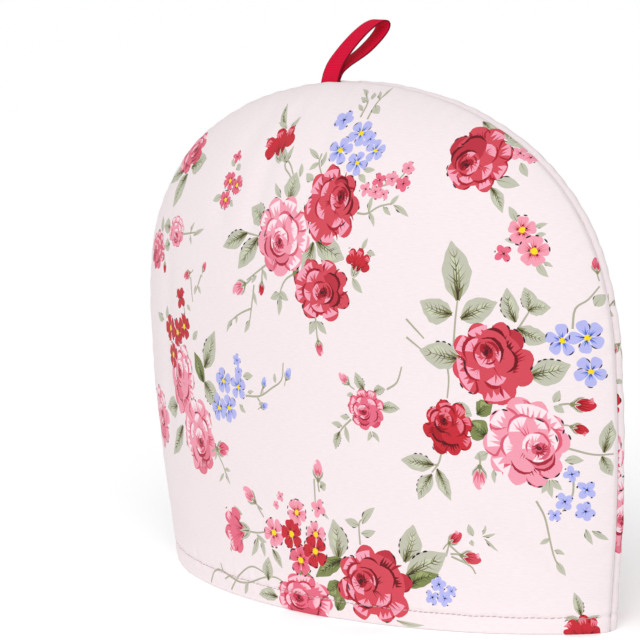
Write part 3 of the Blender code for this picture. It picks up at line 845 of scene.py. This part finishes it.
STEMS = (
    ((-15, 233), (-13, 228), (-8, 224), (-6, 218)), ((-16, 234), (-10, 230), (-6, 225)),
    ((-37, 194), (-27, 193)), ((9, 237), (9, 232), (13, 226)), ((40, 208), (46, 208), (53, 212), (61, 214)),
    ((25, 258), (24, 267), (19, 273)), ((30, 257), (30, 268), (32, 279)),
    ((2, 176), (-5, 172), (-9, 165), (-10, 157)), ((16, 155), (17, 144)),
    ((-19, 179), (-28, 174), (-35, 170)), ((-22, 178), (-23, 170)), ((-29, 168), (-31, 158), (-33, 150)),
    ((-31, 156), (-40, 153), (-48, 149)), ((98, 146), (99, 160), (100, 170)), ((72, 158), (82, 149)),
    ((72, 149), (81, 143)), ((131, 156), (137, 166)), ((158, 158), (159, 168), (165, 173), (170, 180)),
    ((156, 98), (168, 95), (178, 95)), ((90, 93), (88, 87), (84, 82)), ((88, 86), (84, 86)),
    ((158, 82), (157, 74), (152, 66)), ((92, 46), (97, 42), (100, 41)), ((90, 40), (92, 46)),
    ((93, 40), (103, 36), (106, 32)), ((139, 71), (143, 63), (145, 52), (147, 42), (150, 36)),
    ((60, 122), (66, 126), (69, 134)), ((37, 105), (31, 100), (28, 96)), ((10, 72), (10, 57)),
    ((39, 41), (39, 52), (43, 55)),
    ((-91, 3), (-85, 10), (-77, 12), (-60, 9), (-48, 10), (-33, 15), (-22, 16), (-14, 12)),
    ((-67, 3), (-58, 12), (-45, 19), (-32, 17)), ((-75, 12), (-77, 16)), ((-67, 11), (-73, 8)),
    ((-48, 38), (-38, 38), (-28, 40)), ((-36, 52), (-31, 47)),
    ((-40, 110), (-28, 111), (-18, 116), (-10, 121), (-8, 130)), ((-27, 112), (-25, 116)),
    ((-30, 110), (-27, 107)), ((-80, 118), (-79, 106), (-77, 104)), ((-72, 77), (-66, 70), (-63, 64)),
    ((-102, 190), (-92, 191), (-84, 192)), ((-78, 170), (-82, 164), (-85, 160)),
    ((-90, 168), (-89, 160), (-88, 155)), ((-98, 148), (-100, 155)),
    ((44, 219), (52, 222), (60, 225), (65, 231)), ((93, 142), (95, 131), (94, 120)),
    ((132, 274), (134, 268)), ((128, 262), (134, 262)), ((160, 278), (158, 286)), ((171, 228), (171, 216)),
)
REPEAT_ACROSS = 372       # the print comes round again after this much cloth, in millimetres
REPEAT_UP = 318
PRINT_REACH = 34          # how far any motif reaches from its place


def draw_print(panel):
    """All the printed shapes that fall on a panel's flat cut, in the order that they are printed."""
    drawn = []
    low, high = flat_low / MM - PRINT_REACH, flat_high / MM + PRINT_REACH

    def lay(shapes, place, along, aside):
        """Prints a motif wherever the repeat brings it. The back is cut from another stretch of it."""
        shapes = list(shapes)
        place, along, aside = (np.array(vector, float) for vector in (place, along, aside))
        if panel == "back_panel":
            place, along, aside = (vector * (-1, 1) for vector in (place, along, aside))
            place = place + BACK_CUT
        for across in (-REPEAT_ACROSS, 0, REPEAT_ACROSS):
            for up in (-REPEAT_UP, 0, REPEAT_UP):
                middle = place + (across, up)
                if (middle > low).all() and (middle < high).all():
                    for shape, colour in shapes:
                        drawn.append(((middle + shape[:, :1] * along + shape[:, 1:] * aside) * MM, colour))

    def lay_blossoms(rows, draw, grown=1.0):
        for seed, row in enumerate(rows):
            blossom = {"inks": "blue"} | dict(zip(BLOSSOM_COLUMNS, row))
            size = blossom["radius"] * grown
            lay(draw(INKS[blossom["inks"]], seed), (blossom["p"], blossom["q"]), (size, 0), (0, size))

    def lay_turned(rows, draw, share):
        for seed, row in enumerate(rows):
            bloom = dict(zip(TURNED_COLUMNS, row))
            half = bloom["length"] * share
            along, aside = polar(half, bloom["turn"]), polar(half, bloom["turn"] + 90)
            lay(draw(INKS[bloom["inks"]], seed), (bloom["p"], bloom["q"]), along, aside)

    for line in STEMS:
        outline = brush(np.array(line) - line[0], STEM_WIDTH, start=1, end=0.7, steps=4)
        lay([(outline, STEM_INK)], line[0], (1, 0), (0, 1))
    for seed, row in enumerate(LEAVES):
        leaf = {"finish": "plain", "inks": "sage"} | dict(zip(LEAF_COLUMNS, row))
        base = np.array((leaf["p0"], leaf["q0"]), float)
        run = np.array((leaf["p1"], leaf["q1"])) - base
        wide = leaf["wide"] / np.linalg.norm(run)
        lay(leaf_shapes(INKS[leaf["inks"]], wide, seed, leaf["finish"]), base, run, (-run[1], run[0]))
    lay_blossoms(FLORETS, floret_shapes, 1.12)
    lay_blossoms(BLUE_FLOWERS, blue_flower_shapes)
    lay_turned(SIDE_ROSES, side_rose_shapes, 0.5)
    for seed, row in enumerate(ROSES):
        rose = dict(zip(ROSE_COLUMNS, row))
        looks = (rose["heart_turn"], rose["heart_share"], rose["lit_turn"])
        shapes = rose_shapes(INKS[rose["inks"]], *looks, seed)
        lay(shapes, (rose["p"], rose["q"]), (rose["wide"] / 2, 0), (0, rose["tall"] / 2))
    lay_blossoms(STARS, star_flower_shapes)
    lay_turned(BUDS, bud_shapes, 0.56)
    return drawn


# THE TWO PANELS. The cloth is cut into small triangles along the edges of every printed shape, so that a
# shape keeps a clean edge, and each triangle takes the last ink printed over it. The inner skin and the
# rim close it into one padded sheet.
THREAD_STEP = 0.0030      # spacing of the cloth's own points away from its edges
EDGE_STEP = 0.0016        # and along the seam and the hem
EDGE_DEPTHS = (0.0009, 0.0018, 0.0027, 0.0037, 0.0050, 0.0068, 0.0090, 0.0115, 0.0145)
HEM_DEPTHS = (0.0005, 0.0015, 0.0032, 0.0052, 0.0070, 0.0082, 0.0094, 0.0106, 0.0120, 0.0140, 0.0165)
SEAM_CLEAR = 0.0165       # how far from the seam the even lattice starts
HEM_CLEAR = 0.0185        # and from the hem
INNER_STEP = 0.045        # spacing of the inner skin's points on the disc
INNER_FROM = 0.02         # its lowest row on the disc, above two rows in the rounded hem
INNER_TO = 0.96
INNER_HEM_ROWS = (0.0005, 0.0015)
INNER_ROW_POINTS = 90
INNER_RIM_POINTS = 200
HEM_TOUCH = 0.001         # nearer the hem than this on the disc, a point lies on it
LINING = ink(244, 236, 232)
SLACK = 0.00003           # how far a printed edge may stray from its curve
seam_edge = even_line(groove_line, EDGE_STEP)
hem_edge = even_line(hem_line, EDGE_STEP)
cut_outline = np.concatenate([seam_edge[:-1], hem_edge[:-1]])


def cloth_points():
    """The cloth's own points: rows beside the seam and the hem, and an even lattice between them."""
    from_seam, from_hem = outward_of(seam_edge), outward_of(hem_edge)
    rows = [seam_edge - from_seam * depth for depth in EDGE_DEPTHS]
    rows += [hem_edge - from_hem * depth for depth in HEM_DEPTHS]
    across = np.arange(flat_low[0], flat_high[0], THREAD_STEP)
    up = np.arange(flat_low[1], flat_high[1], THREAD_STEP)
    lattice = np.stack(np.meshgrid(across, up), -1).reshape(-1, 2)
    lattice[:, 0] += 0.5 * THREAD_STEP * (np.round(lattice[:, 1] / THREAD_STEP) % 2)
    margin = np.concatenate([seam_edge - from_seam * SEAM_CLEAR, hem_edge - from_hem * HEM_CLEAR])
    rows.append(lattice[inside_shape(lattice, margin)])
    points = np.concatenate(rows)
    return points[inside_shape(points, cut_outline)]


def without_spare_points(shape, slack):
    """The same closed outline without the points that stray less than the slack from its sides."""
    for _ in range(3):
        before, after = np.roll(shape, 1, axis=0), np.roll(shape, -1, axis=0)
        side = after - before
        off = shape - before
        stray = np.abs(side[:, 0] * off[:, 1] - side[:, 1] * off[:, 0]) / np.maximum(np.hypot(*side.T), 1e-12)
        spare = (stray < slack) & (np.arange(len(shape)) % 2 == 1)
        if len(shape) - spare.sum() < 4 or not spare.any():
            break
        shape = shape[~spare]
    return shape


def sides_of(faces):
    """The sides that two triangles share, those two triangles, and the sides that only one has."""
    sides = np.sort(np.concatenate([faces[:, (0, 1)], faces[:, (1, 2)], faces[:, (2, 0)]]), axis=1)
    of_face = np.tile(np.arange(len(faces)), 3)
    order = np.lexsort((sides[:, 0], sides[:, 1]))
    sides, of_face = sides[order], of_face[order]
    first = np.flatnonzero((sides[1:] == sides[:-1]).all(1))
    alone = np.ones(len(sides), bool)
    alone[first] = alone[first + 1] = False
    return sides[first], of_face[first], of_face[first + 1], sides[alone]


def triangulate(points, edges, rim, snap=1e-7):
    """Flat points and triangles inside a closed outline, which is the first of the given edges."""
    made = geometry.delaunay_2d_cdt([Vector(point) for point in points], edges, [], 0, snap)
    flat, faces = np.array([tuple(point) for point in made[0]]), np.array(made[2])
    on_border = [min(given, default=rim) < rim for given in made[4]]
    border = [(min(side), max(side)) for side, kept in zip(made[1], on_border) if kept]
    shared, one, other, _ = sides_of(faces)
    border = np.array(border)
    passable = ~np.isin(shared @ (len(flat), 1), border @ (len(flat), 1))
    one, other = one[passable], other[passable]

    # Triangles joined side to side take the lowest number among them. The largest group is the inside.
    group = np.arange(len(faces))
    while True:
        lowest = np.minimum(group[one], group[other])
        joined = group.copy()
        np.minimum.at(joined, group[one], lowest)
        np.minimum.at(joined, group[other], lowest)
        joined = joined[joined]
        if (joined == group).all():
            break
        group = joined
    faces = faces[group == np.bincount(group).argmax()]
    used, renumbered = np.unique(faces, return_inverse=True)
    return flat[used], renumbered.reshape(-1, 3)


def paint(flat, faces, drawn):
    """Which printed shape lies on top of each triangle, or -1 on the bare ground."""
    middle = flat[faces].mean(1)
    top = np.full(len(faces), -1)
    order = np.argsort(middle[:, 0])
    along = middle[order, 0]
    for number, (shape, _) in enumerate(drawn):
        low, high = shape.min(0), shape.max(0)
        near = order[np.searchsorted(along, low[0]):np.searchsorted(along, high[0])]
        near = near[(middle[near, 1] > low[1]) & (middle[near, 1] < high[1])]
        if len(near):
            top[near[inside_shape(middle[near], shape)]] = number
    return top


def cut_cloth(drawn):
    """Points, triangles and inks of the flat cloth, cut along its outline and where two inks meet."""
    shapes = [cut_outline] + [without_spare_points(shape, SLACK) for shape, _ in drawn]
    edges = []
    count = 0
    for shape in shapes:
        edges += [(count + i, count + (i + 1) % len(shape)) for i in range(len(shape))]
        count += len(shape)
    drawn = [(shape, colour) for shape, (_, colour) in zip(shapes[1:], drawn)]
    inks = np.array([colour for _, colour in drawn] + [GROUND])
    flat, faces = triangulate(np.concatenate(shapes), edges, len(cut_outline))
    colours = inks[paint(flat, faces, drawn)]

    # Only the cloth's edge and the sides where the ink changes stay. Those under a later ink go.
    shared, one, other, alone = sides_of(faces)
    changes = (colours[one] != colours[other]).any(1)
    used, kept = np.unique(np.concatenate([alone, shared[changes]]), return_inverse=True)
    edges = [(int(a), int(b)) for a, b in kept.reshape(-1, 2)]
    flat, faces = triangulate(np.concatenate([flat[used], cloth_points()]), edges, len(alone))
    return flat, faces, inks[paint(flat, faces, drawn)]


def rim_of(faces):
    """The vertices round the open edge of a sheet of triangles, in order."""
    sides = np.concatenate([faces[:, (0, 1)], faces[:, (1, 2)], faces[:, (2, 0)]])
    known = set(map(tuple, sides.tolist()))
    following = {a: b for a, b in known if (b, a) not in known}
    rim = [min(following)]
    while following[rim[-1]] != rim[0]:
        rim.append(following[rim[-1]])
        assert len(rim) <= len(following), "the rim isn't one loop"
    return np.array(rim)


def add_object(name, data):
    made = bpy.data.objects.new(name, data)
    bpy.context.scene.collection.objects.link(made)
    return made


def build_panel(name, drawn, cloth_material):
    """The whole panel: its printed outer skin, its plain inner skin, and the rim that joins them."""
    shown = [(shape, colour) for shape, colour in drawn if inside_shape(shape, cut_outline).any()]
    flat, faces, colours = cut_cloth(shown)
    disc = flat_to_disc(flat)
    rim = rim_of(faces)
    radius = np.hypot(disc[rim, 0], disc[rim, 1])
    on_hem = disc[rim, 1] < HEM_TOUCH
    disc[rim, 1] = np.where(on_hem, 0.0, disc[rim, 1])
    disc[rim[~on_hem]] *= (2 / radius[~on_hem])[:, None]
    outer = finished_skin(disc, name)
    outer[rim[on_hem], 2] = 0.0
    outer_normals = skin_normals(finished_skin, disc, name)

    spacing = np.arange(-1, 1 + INNER_STEP, INNER_STEP)
    lattice = np.stack(np.meshgrid(spacing, spacing[spacing > INNER_FROM]), -1).reshape(-1, 2)
    lattice = lattice[np.hypot(*lattice.T) < INNER_TO]
    across = np.linspace(-0.99, 0.99, INNER_ROW_POINTS)
    low_rows = np.array([(x, z / HEIGHT) for z in INNER_HEM_ROWS for x in across])
    headings = np.linspace(0, np.pi, INNER_RIM_POINTS)
    ring_points = np.stack([np.cos(headings), np.sin(headings)], -1)
    extra = np.concatenate([lattice, low_rows, ring_points[1:-1]])
    edges = [(i, (i + 1) % len(rim)) for i in range(len(rim))]
    inner_disc, inner_faces = triangulate(np.concatenate([disc[rim], extra]), edges, len(rim), 1e-9)
    inner = skin(inner_disc, name, inner=True)

    first = len(outer)
    inner_rim = first + np.arange(len(rim))
    next_outer, next_inner = np.roll(rim, -1), np.roll(inner_rim, -1)
    rim_faces = np.concatenate([
        np.stack([next_outer, rim, inner_rim], -1),
        np.stack([next_outer, inner_rim, next_inner], -1),
    ])
    all_faces = np.concatenate([faces, rim_faces, inner_faces[:, ::-1] + first])
    if SIDES[name] > 0:
        all_faces = all_faces[:, ::-1]
    all_points = np.concatenate([outer, inner])
    mesh = bpy.data.meshes.new(name + "_cloth")
    mesh.from_pydata(all_points.tolist(), [], all_faces.tolist())
    lining = np.tile(LINING, (len(rim_faces) + len(inner_faces), 1))
    lining[:len(rim_faces)] = GROUND
    corner_colours = np.ones((len(all_faces) * 3, 4))
    corner_colours[:, :3] = np.repeat(np.concatenate([colours, lining]), 3, axis=0)
    attribute = mesh.color_attributes.new(name="print", type="BYTE_COLOR", domain="CORNER")
    attribute.data.foreach_set("color_srgb", corner_colours.ravel())
    uv = mesh.uv_layers.new(name="flat_cut")
    flat_places = np.concatenate([flat, inner[:, (0, 2)]])
    uv.data.foreach_set("uv", flat_places[all_faces].ravel())
    normals = np.concatenate([outer_normals, np.zeros_like(inner)])
    normals[rim] = 0
    mesh.shade_smooth()
    mesh.normals_split_custom_set_from_vertices(normals.tolist())
    mesh.materials.append(cloth_material)
    return add_object(name + "_cloth", mesh)


def feed(tree, node, inputs):
    """Gives each named input of a shader node its value, or the output that feeds it."""
    for name, value in inputs.items():
        if isinstance(value, bpy.types.Node):
            value = value.outputs[0]
        if isinstance(value, bpy.types.NodeSocket):
            tree.links.new(value, node.inputs[name])
        else:
            node.inputs[name].default_value = value


def add_node(tree, kind, inputs, **settings):
    """Adds a shader node to a material or group, sets it, then feeds its inputs."""
    node = tree.nodes.new("ShaderNode" + kind)
    for name, value in settings.items():
        setattr(node, name, value)
    feed(tree, node, inputs)
    return node


def new_material(name, looks):
    """A material with the given looks, its node tree, and its one shader."""
    made = bpy.data.materials.new(name)
    made.use_nodes = True
    shader = made.node_tree.nodes["Principled BSDF"]
    feed(made.node_tree, shader, looks)
    return made, made.node_tree, shader


def plain_weave():
    """A node group for woven cloth: the height of its crossing threads, and its uneven yarns."""
    group = bpy.data.node_groups.new("woven threads", "ShaderNodeTree")
    for name, kind in (("Place", "Vector"), ("Warp Pitch", "Float"), ("Weft Pitch", "Float")):
        group.interface.new_socket(name, in_out="INPUT", socket_type="NodeSocket" + kind)
    for name in ("Height", "Slubs"):
        group.interface.new_socket(name, in_out="OUTPUT", socket_type="NodeSocketFloat")
    given = group.nodes.new("NodeGroupInput").outputs
    split = add_node(group, "SeparateXYZ", {0: given["Place"]}).outputs
    sines = {}
    for axis, pitch in (("X", "Warp Pitch"), ("Y", "Weft Pitch")):
        share = add_node(group, "Math", {0: split[axis], 1: given[pitch]}, operation="DIVIDE")
        turn = add_node(group, "Math", {0: share, 1: math.pi}, operation="MULTIPLY")
        sines[axis] = add_node(group, "Math", {0: turn}, operation="SINE")
    crossing = add_node(group, "Math", {0: sines["X"], 1: sines["Y"]}, operation="MULTIPLY")
    height = add_node(group, "Math", {0: crossing, 1: 0.5, 2: 0.5}, operation="MULTIPLY_ADD")
    yarns = add_node(group, "VectorMath", {0: given["Place"], 1: SLUBS_A_METRE}, operation="MULTIPLY")
    slubs = add_node(group, "TexNoise", {"Vector": yarns, "Scale": 1, "Detail": 2}).outputs["Fac"]
    raised = add_node(group, "Math", {0: slubs, 1: SLUB_HEIGHT, 2: height}, operation="MULTIPLY_ADD")
    feed(group, group.nodes.new("NodeGroupOutput"), {"Height": raised, "Slubs": slubs})
    return group


WARP_PITCH = 0.00042      # of the cotton's threads, in metres
WEFT_PITCH = 0.00050
WEAVE_DEPTH = 0.00005
SLUBS_A_METRE = (240, 1500, 1)
SLUB_HEIGHT = 0.6         # against the height of the threads
woven = plain_weave()
matt = {"Roughness": 0.86, "Specular IOR Level": 0.3, "Sheen Weight": 0.08, "Sheen Roughness": 0.5}
cotton, tree, shader = new_material("printed cotton", matt)
cut_place = add_node(tree, "UVMap", {}, uv_map="flat_cut")
threads = add_node(tree, "Group", {"Place": cut_place}, node_tree=woven)
feed(tree, threads, {"Warp Pitch": WARP_PITCH, "Weft Pitch": WEFT_PITCH})
printed = add_node(tree, "Attribute", {}, attribute_name="print")
# The cloth is a little darker where its yarns are thin than where they are thick.
uneven = {"From Min": 0.25, "From Max": 0.75, "To Min": 0.855, "To Max": 0.905}
strength = add_node(tree, "MapRange", {"Value": threads.outputs["Slubs"]} | uneven)
tinted = add_node(tree, "VectorMath", {0: printed, "Scale": strength}, operation="SCALE")
weave = {"Strength": 0.5, "Distance": WEAVE_DEPTH, "Height": threads.outputs["Height"]}
feed(tree, shader, {"Base Color": tinted, "Normal": add_node(tree, "Bump", weave)})

panels = {}
for node in SIDES:
    panels[node] = build_panel(node, draw_print(node), cotton)
    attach(panels[node], "root")
    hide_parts(node)


# THE HEM'S TOPSTITCHING. A lockstitch in pale rose-grey thread holds the turned-up hem, about ten
# millimetres above its edge. Each stitch that shows is a short raised thread that dips in at both ends.
STITCH_PITCH = 0.0029
STITCH_LENGTH = 0.0026
THREAD_THICK = 0.00050
STITCHED_HALF = 0.1525    # how far the line runs each way from the middle
STITCH_LIFT = 0.18        # share of its thickness by which a stitch's middle stands off the cloth
thread, tree, shader = new_material("sewing thread", {"Base Color": (0.50, 0.36, 0.38, 1), "Roughness": 0.6})
own_place = add_node(tree, "TexCoord", {}).outputs["Object"]
twist = add_node(tree, "TexWave", {"Scale": 900, "Distortion": 1.5, "Vector": own_place})
twisted = {"Strength": 0.4, "Distance": 0.00006, "Height": twist.outputs["Fac"]}
feed(tree, shader, {"Normal": add_node(tree, "Bump", twisted)})
for node, panel in panels.items():
    luck = random.Random(node)
    across = np.arange(-STITCHED_HALF, STITCHED_HALF, STITCH_PITCH)
    half = STITCH_LENGTH / 2
    ends = [np.stack([across + shift, stitch_line(across + shift)], -1) for shift in (-half, half)]
    starts, finishes = (finished_skin(on_disc(end[:, 0], end[:, 1]), node) for end in ends)
    outwards = skin_normals(finished_skin, on_disc(across, stitch_line(across)), node)
    bm = bmesh.new()
    for start, finish, out in zip(starts, finishes, outwards):
        ahead = Vector(finish - start)
        up = Vector(out)
        beside = up.cross(ahead).normalized()
        up = ahead.cross(beside).normalized()
        turn = Matrix((ahead.normalized(), beside, up)).transposed().to_4x4()
        turn = turn @ Matrix.Rotation(math.radians(luck.uniform(3, 9)), 4, "Z")
        size = Matrix.Diagonal((ahead.length / 2, THREAD_THICK / 2, THREAD_THICK / 2, 1))
        place = Matrix.Translation(Vector((start + finish) / 2) + up * THREAD_THICK * STITCH_LIFT)
        bmesh.ops.create_uvsphere(bm, u_segments=8, v_segments=6, radius=1, matrix=place @ turn @ size)
    for face in bm.faces:
        face.smooth = True
    mesh = bpy.data.meshes.new(node + "_stitches")
    bm.to_mesh(mesh)
    mesh.materials.append(thread)
    stitches = add_object(node + "_stitches", mesh)
    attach(stitches, "root")


# THE HANGING LOOP. A crimson grosgrain ribbon, twelve millimetres wide, folded in half so that both ends
# are caught in the seam left of the top. Its ribs run across, with painted shade in the grooves between
# them, and its two selvages are a darker line, partly their own colour and partly painted shade.
RIBBON_WIDTH = 0.012
RIBBON_THICK = 0.00060
SOLID_THICK = 0.001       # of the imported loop, whose two ends this ribbon's ends follow
FOOT_GAP = 0.0002         # between those two ends
FOOT_DEPTH = 0.0052       # how far the ends go down into the seam
LOOP_LEAN = math.radians(12)
LOOP_TWIST = math.radians(9)
FINE_PITCH = 0.00026      # of the fine threads along the ribbon
RIB_PITCH = 0.00098
RIB_HEIGHT = 0.00008
ROWS_A_RIB = 6
COLUMNS = 16
SELVAGE_FROM, SELVAGE_TO = 0.44, 0.47   # shares of the width where the ribs end and the selvage starts
# How far back the ribbon's middle line leans, and its height, from the front end to the back end.
FIRST_LEAN = (SOLID_THICK + FOOT_GAP) / 2
LOOP_ROUTE = (
    (-FIRST_LEAN, 0.2692), (0.0012, 0.2735), (0.0045, 0.2785), (0.0098, 0.2836), (0.0160, 0.2888),
    (0.0222, 0.2935), (0.0285, 0.2973), (0.0333, 0.2986), (0.0352, 0.2968), (0.0343, 0.2936),
    (0.0312, 0.2899), (0.0270, 0.2862), (0.0215, 0.2824), (0.0150, 0.2793), (0.0085, 0.2765),
    (0.0035, 0.2735), (FIRST_LEAN, 0.2692),
)
route = smooth_line(LOOP_ROUTE, steps=12)
down = np.array((0, FOOT_DEPTH))
route = even_line(np.concatenate([route[:1] - down, route, route[-1:] - down]), RIB_PITCH / ROWS_A_RIB)
ahead = np.gradient(route, axis=0)
ahead /= np.linalg.norm(ahead, axis=1, keepdims=True)
share = np.clip(route[:, 0] / route[:, 0].max(), 0, 1)
lean, turn = LOOP_LEAN * share, -LOOP_TWIST * share
middles = np.stack([LOOP_X + route[:, 0] * np.sin(lean), route[:, 0] * np.cos(lean), route[:, 1]], -1)
widths = np.stack([np.cos(turn), np.sin(turn), np.zeros_like(turn)], -1)
forward = np.stack([-np.sin(turn) * ahead[:, 0], np.cos(turn) * ahead[:, 0], ahead[:, 1]], -1)
depths = np.cross(forward, widths)
run = np.arange(len(route)) * RIB_PITCH / ROWS_A_RIB
bm = bmesh.new()
uv_layer = bm.loops.layers.uv.new("ribbon_cut")
bmesh.ops.create_grid(bm, x_segments=COLUMNS, y_segments=len(route) - 1, size=0.5)
flat_spots = {}
for vert in bm.verts:
    row = round((vert.co.y + 0.5) * (len(route) - 1))
    aside = vert.co.x
    fade = 1 - smooth_step(abs(aside), SELVAGE_FROM, SELVAGE_TO)
    rib = RIB_HEIGHT * (math.cos(run[row] / RIB_PITCH * math.tau) * fade + 1 - fade)
    flat_spots[vert] = (aside * RIBBON_WIDTH, run[row])
    vert.co = Vector(middles[row] + widths[row] * aside * RIBBON_WIDTH + depths[row] * rib)
for face in bm.faces:
    face.smooth = True
    for loop in face.loops:
        loop[uv_layer].uv = flat_spots[loop.vert]
mesh = bpy.data.meshes.new("ribbon_loop")
bm.to_mesh(mesh)
ribbon = add_object("ribbon_loop", mesh)
thickness = ribbon.modifiers.new("thickness", "SOLIDIFY")
thickness.thickness = RIBBON_THICK
thickness.offset = 0

RIB_RED = (0.76, 0.003, 0.046, 1)
# Painted shade: the grooves between the ribs are coloured darker than the rib crests.
GROOVE_PAINTED_SHADE_RED = (0.52, 0.0, 0.026, 1)
# The selvages are darker, partly their own colour and partly painted shade.
SELVAGE_AND_SHADE_RED = (0.20, 0.0, 0.012, 1)
crimson, tree, shader = new_material("crimson grosgrain", {"Roughness": 0.62, "Specular IOR Level": 0.12})
ribbon_place = add_node(tree, "UVMap", {}, uv_map="ribbon_cut")
split = add_node(tree, "SeparateXYZ", {0: ribbon_place}).outputs
rib_turn = add_node(tree, "Math", {0: split["Y"], 1: math.tau / RIB_PITCH}, operation="MULTIPLY")
rib_wave = add_node(tree, "Math", {0: rib_turn}, operation="COSINE")
# Mask of the painted shade: 0 in the grooves between the ribs, 1 on their crests.
out_of_groove_shade = add_node(tree, "MapRange", {"Value": rib_wave, "From Min": -1, "From Max": 0.4})
ribs = add_node(tree, "Mix", {"A": GROOVE_PAINTED_SHADE_RED, "B": RIB_RED, "Factor": out_of_groove_shade}, data_type="RGBA")
# Mask of the darker selvages, partly their own colour and partly painted shade.
from_middle = add_node(tree, "Math", {0: split["X"]}, operation="ABSOLUTE")
edges = {"From Min": RIBBON_WIDTH * SELVAGE_FROM, "From Max": RIBBON_WIDTH * SELVAGE_TO}
at_selvage_and_shade = add_node(tree, "MapRange", {"Value": from_middle} | edges)
bordered = {"A": ribs.outputs["Result"], "B": SELVAGE_AND_SHADE_RED, "Factor": at_selvage_and_shade}
reds = add_node(tree, "Mix", bordered, data_type="RGBA").outputs["Result"]
fine = add_node(tree, "Group", {"Place": ribbon_place}, node_tree=woven)
feed(tree, fine, {"Warp Pitch": FINE_PITCH, "Weft Pitch": RIB_PITCH / 2})
fine_weave = {"Strength": 0.5, "Distance": 0.00004, "Height": fine.outputs["Height"]}
feed(tree, shader, {"Base Color": reds, "Normal": add_node(tree, "Bump", fine_weave)})
mesh.materials.append(crimson)
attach(ribbon, "root")
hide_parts("hanging_loop")


# THE CAMERA AND THE LIGHT. The cosy stands on plain, nearly white paper, seen from its right and a little
# from above. A wide soft light comes from the same side and a weaker one from the left, and the pale
# world all round fills the shadows.
FOCAL = 3179.6            # focal length in pixels of a 640-pixel picture
PICTURE = 640
SENSOR = 36               # width of the camera's sensor in millimetres
MIDDLE_X, MIDDLE_Y = 371.6, 339.1   # where the point looked at lies in that picture
HEADING = 43.77           # degrees from the front panel's own direction towards +X
RAISED = 9.75             # degrees above the table
AWAY = 1.6617             # metres from the middle of the cosy
ROLL = -2.99
LOOKED_AT = Vector((0, 0, 0.135))
FLOOR_HALF = 30
PAPER_GLOW = 0.18
AIR_GLOW = 0.48

a, e, roll = math.radians(HEADING), math.radians(RAISED), math.radians(ROLL)
towards = Vector((math.sin(a) * math.cos(e), -math.cos(a) * math.cos(e), math.sin(e)))
right = Vector((math.cos(a), math.sin(a), 0))
up = towards.cross(right)
right, up = right * math.cos(roll) + up * math.sin(roll), up * math.cos(roll) - right * math.sin(roll)
aim = right * (PICTURE / 2 - MIDDLE_X) / FOCAL - up * (PICTURE / 2 - MIDDLE_Y) / FOCAL - towards
backwards = -aim.normalized()
right = up.cross(backwards).normalized()
up = backwards.cross(right)
camera_data = bpy.data.cameras.new("camera")
camera_data.sensor_width = SENSOR
camera_data.lens = SENSOR * FOCAL / PICTURE
camera = add_object("camera", camera_data)
turned = Matrix((right, up, backwards)).transposed().to_4x4()
camera.matrix_world = Matrix.Translation(LOOKED_AT + AWAY * towards) @ turned
bpy.context.scene.camera = camera

floor_bm = bmesh.new()
bmesh.ops.create_grid(floor_bm, x_segments=1, y_segments=1, size=FLOOR_HALF)
floor_mesh = bpy.data.meshes.new("floor")
floor_bm.to_mesh(floor_mesh)
floor = add_object("floor", floor_mesh)
paper, tree, shader = new_material("white paper", {"Base Color": (0.95, 0.95, 0.95, 1), "Roughness": 0.9})
feed(tree, shader, {"Emission Color": (1, 1, 1, 1), "Emission Strength": PAPER_GLOW})
floor_mesh.materials.append(paper)
bpy.context.scene.view_settings.view_transform = "Standard"

world = bpy.data.worlds.new("studio")
world.use_nodes = True
air = world.node_tree.nodes["Background"]
feed(world.node_tree, air, {"Color": (1, 1, 1, 1), "Strength": AIR_GLOW})
bpy.context.scene.world = world
for name, heading, height, strength, angle in (("key", 38, 42, 1.45, 35), ("fill", -25, 40, 0.45, 60)):
    light_data = bpy.data.lights.new(name, "SUN")
    light_data.energy = strength
    light_data.angle = math.radians(angle)
    light = add_object(name, light_data)
    light.rotation_euler = Euler((math.radians(90 - height), 0, math.radians(heading)))
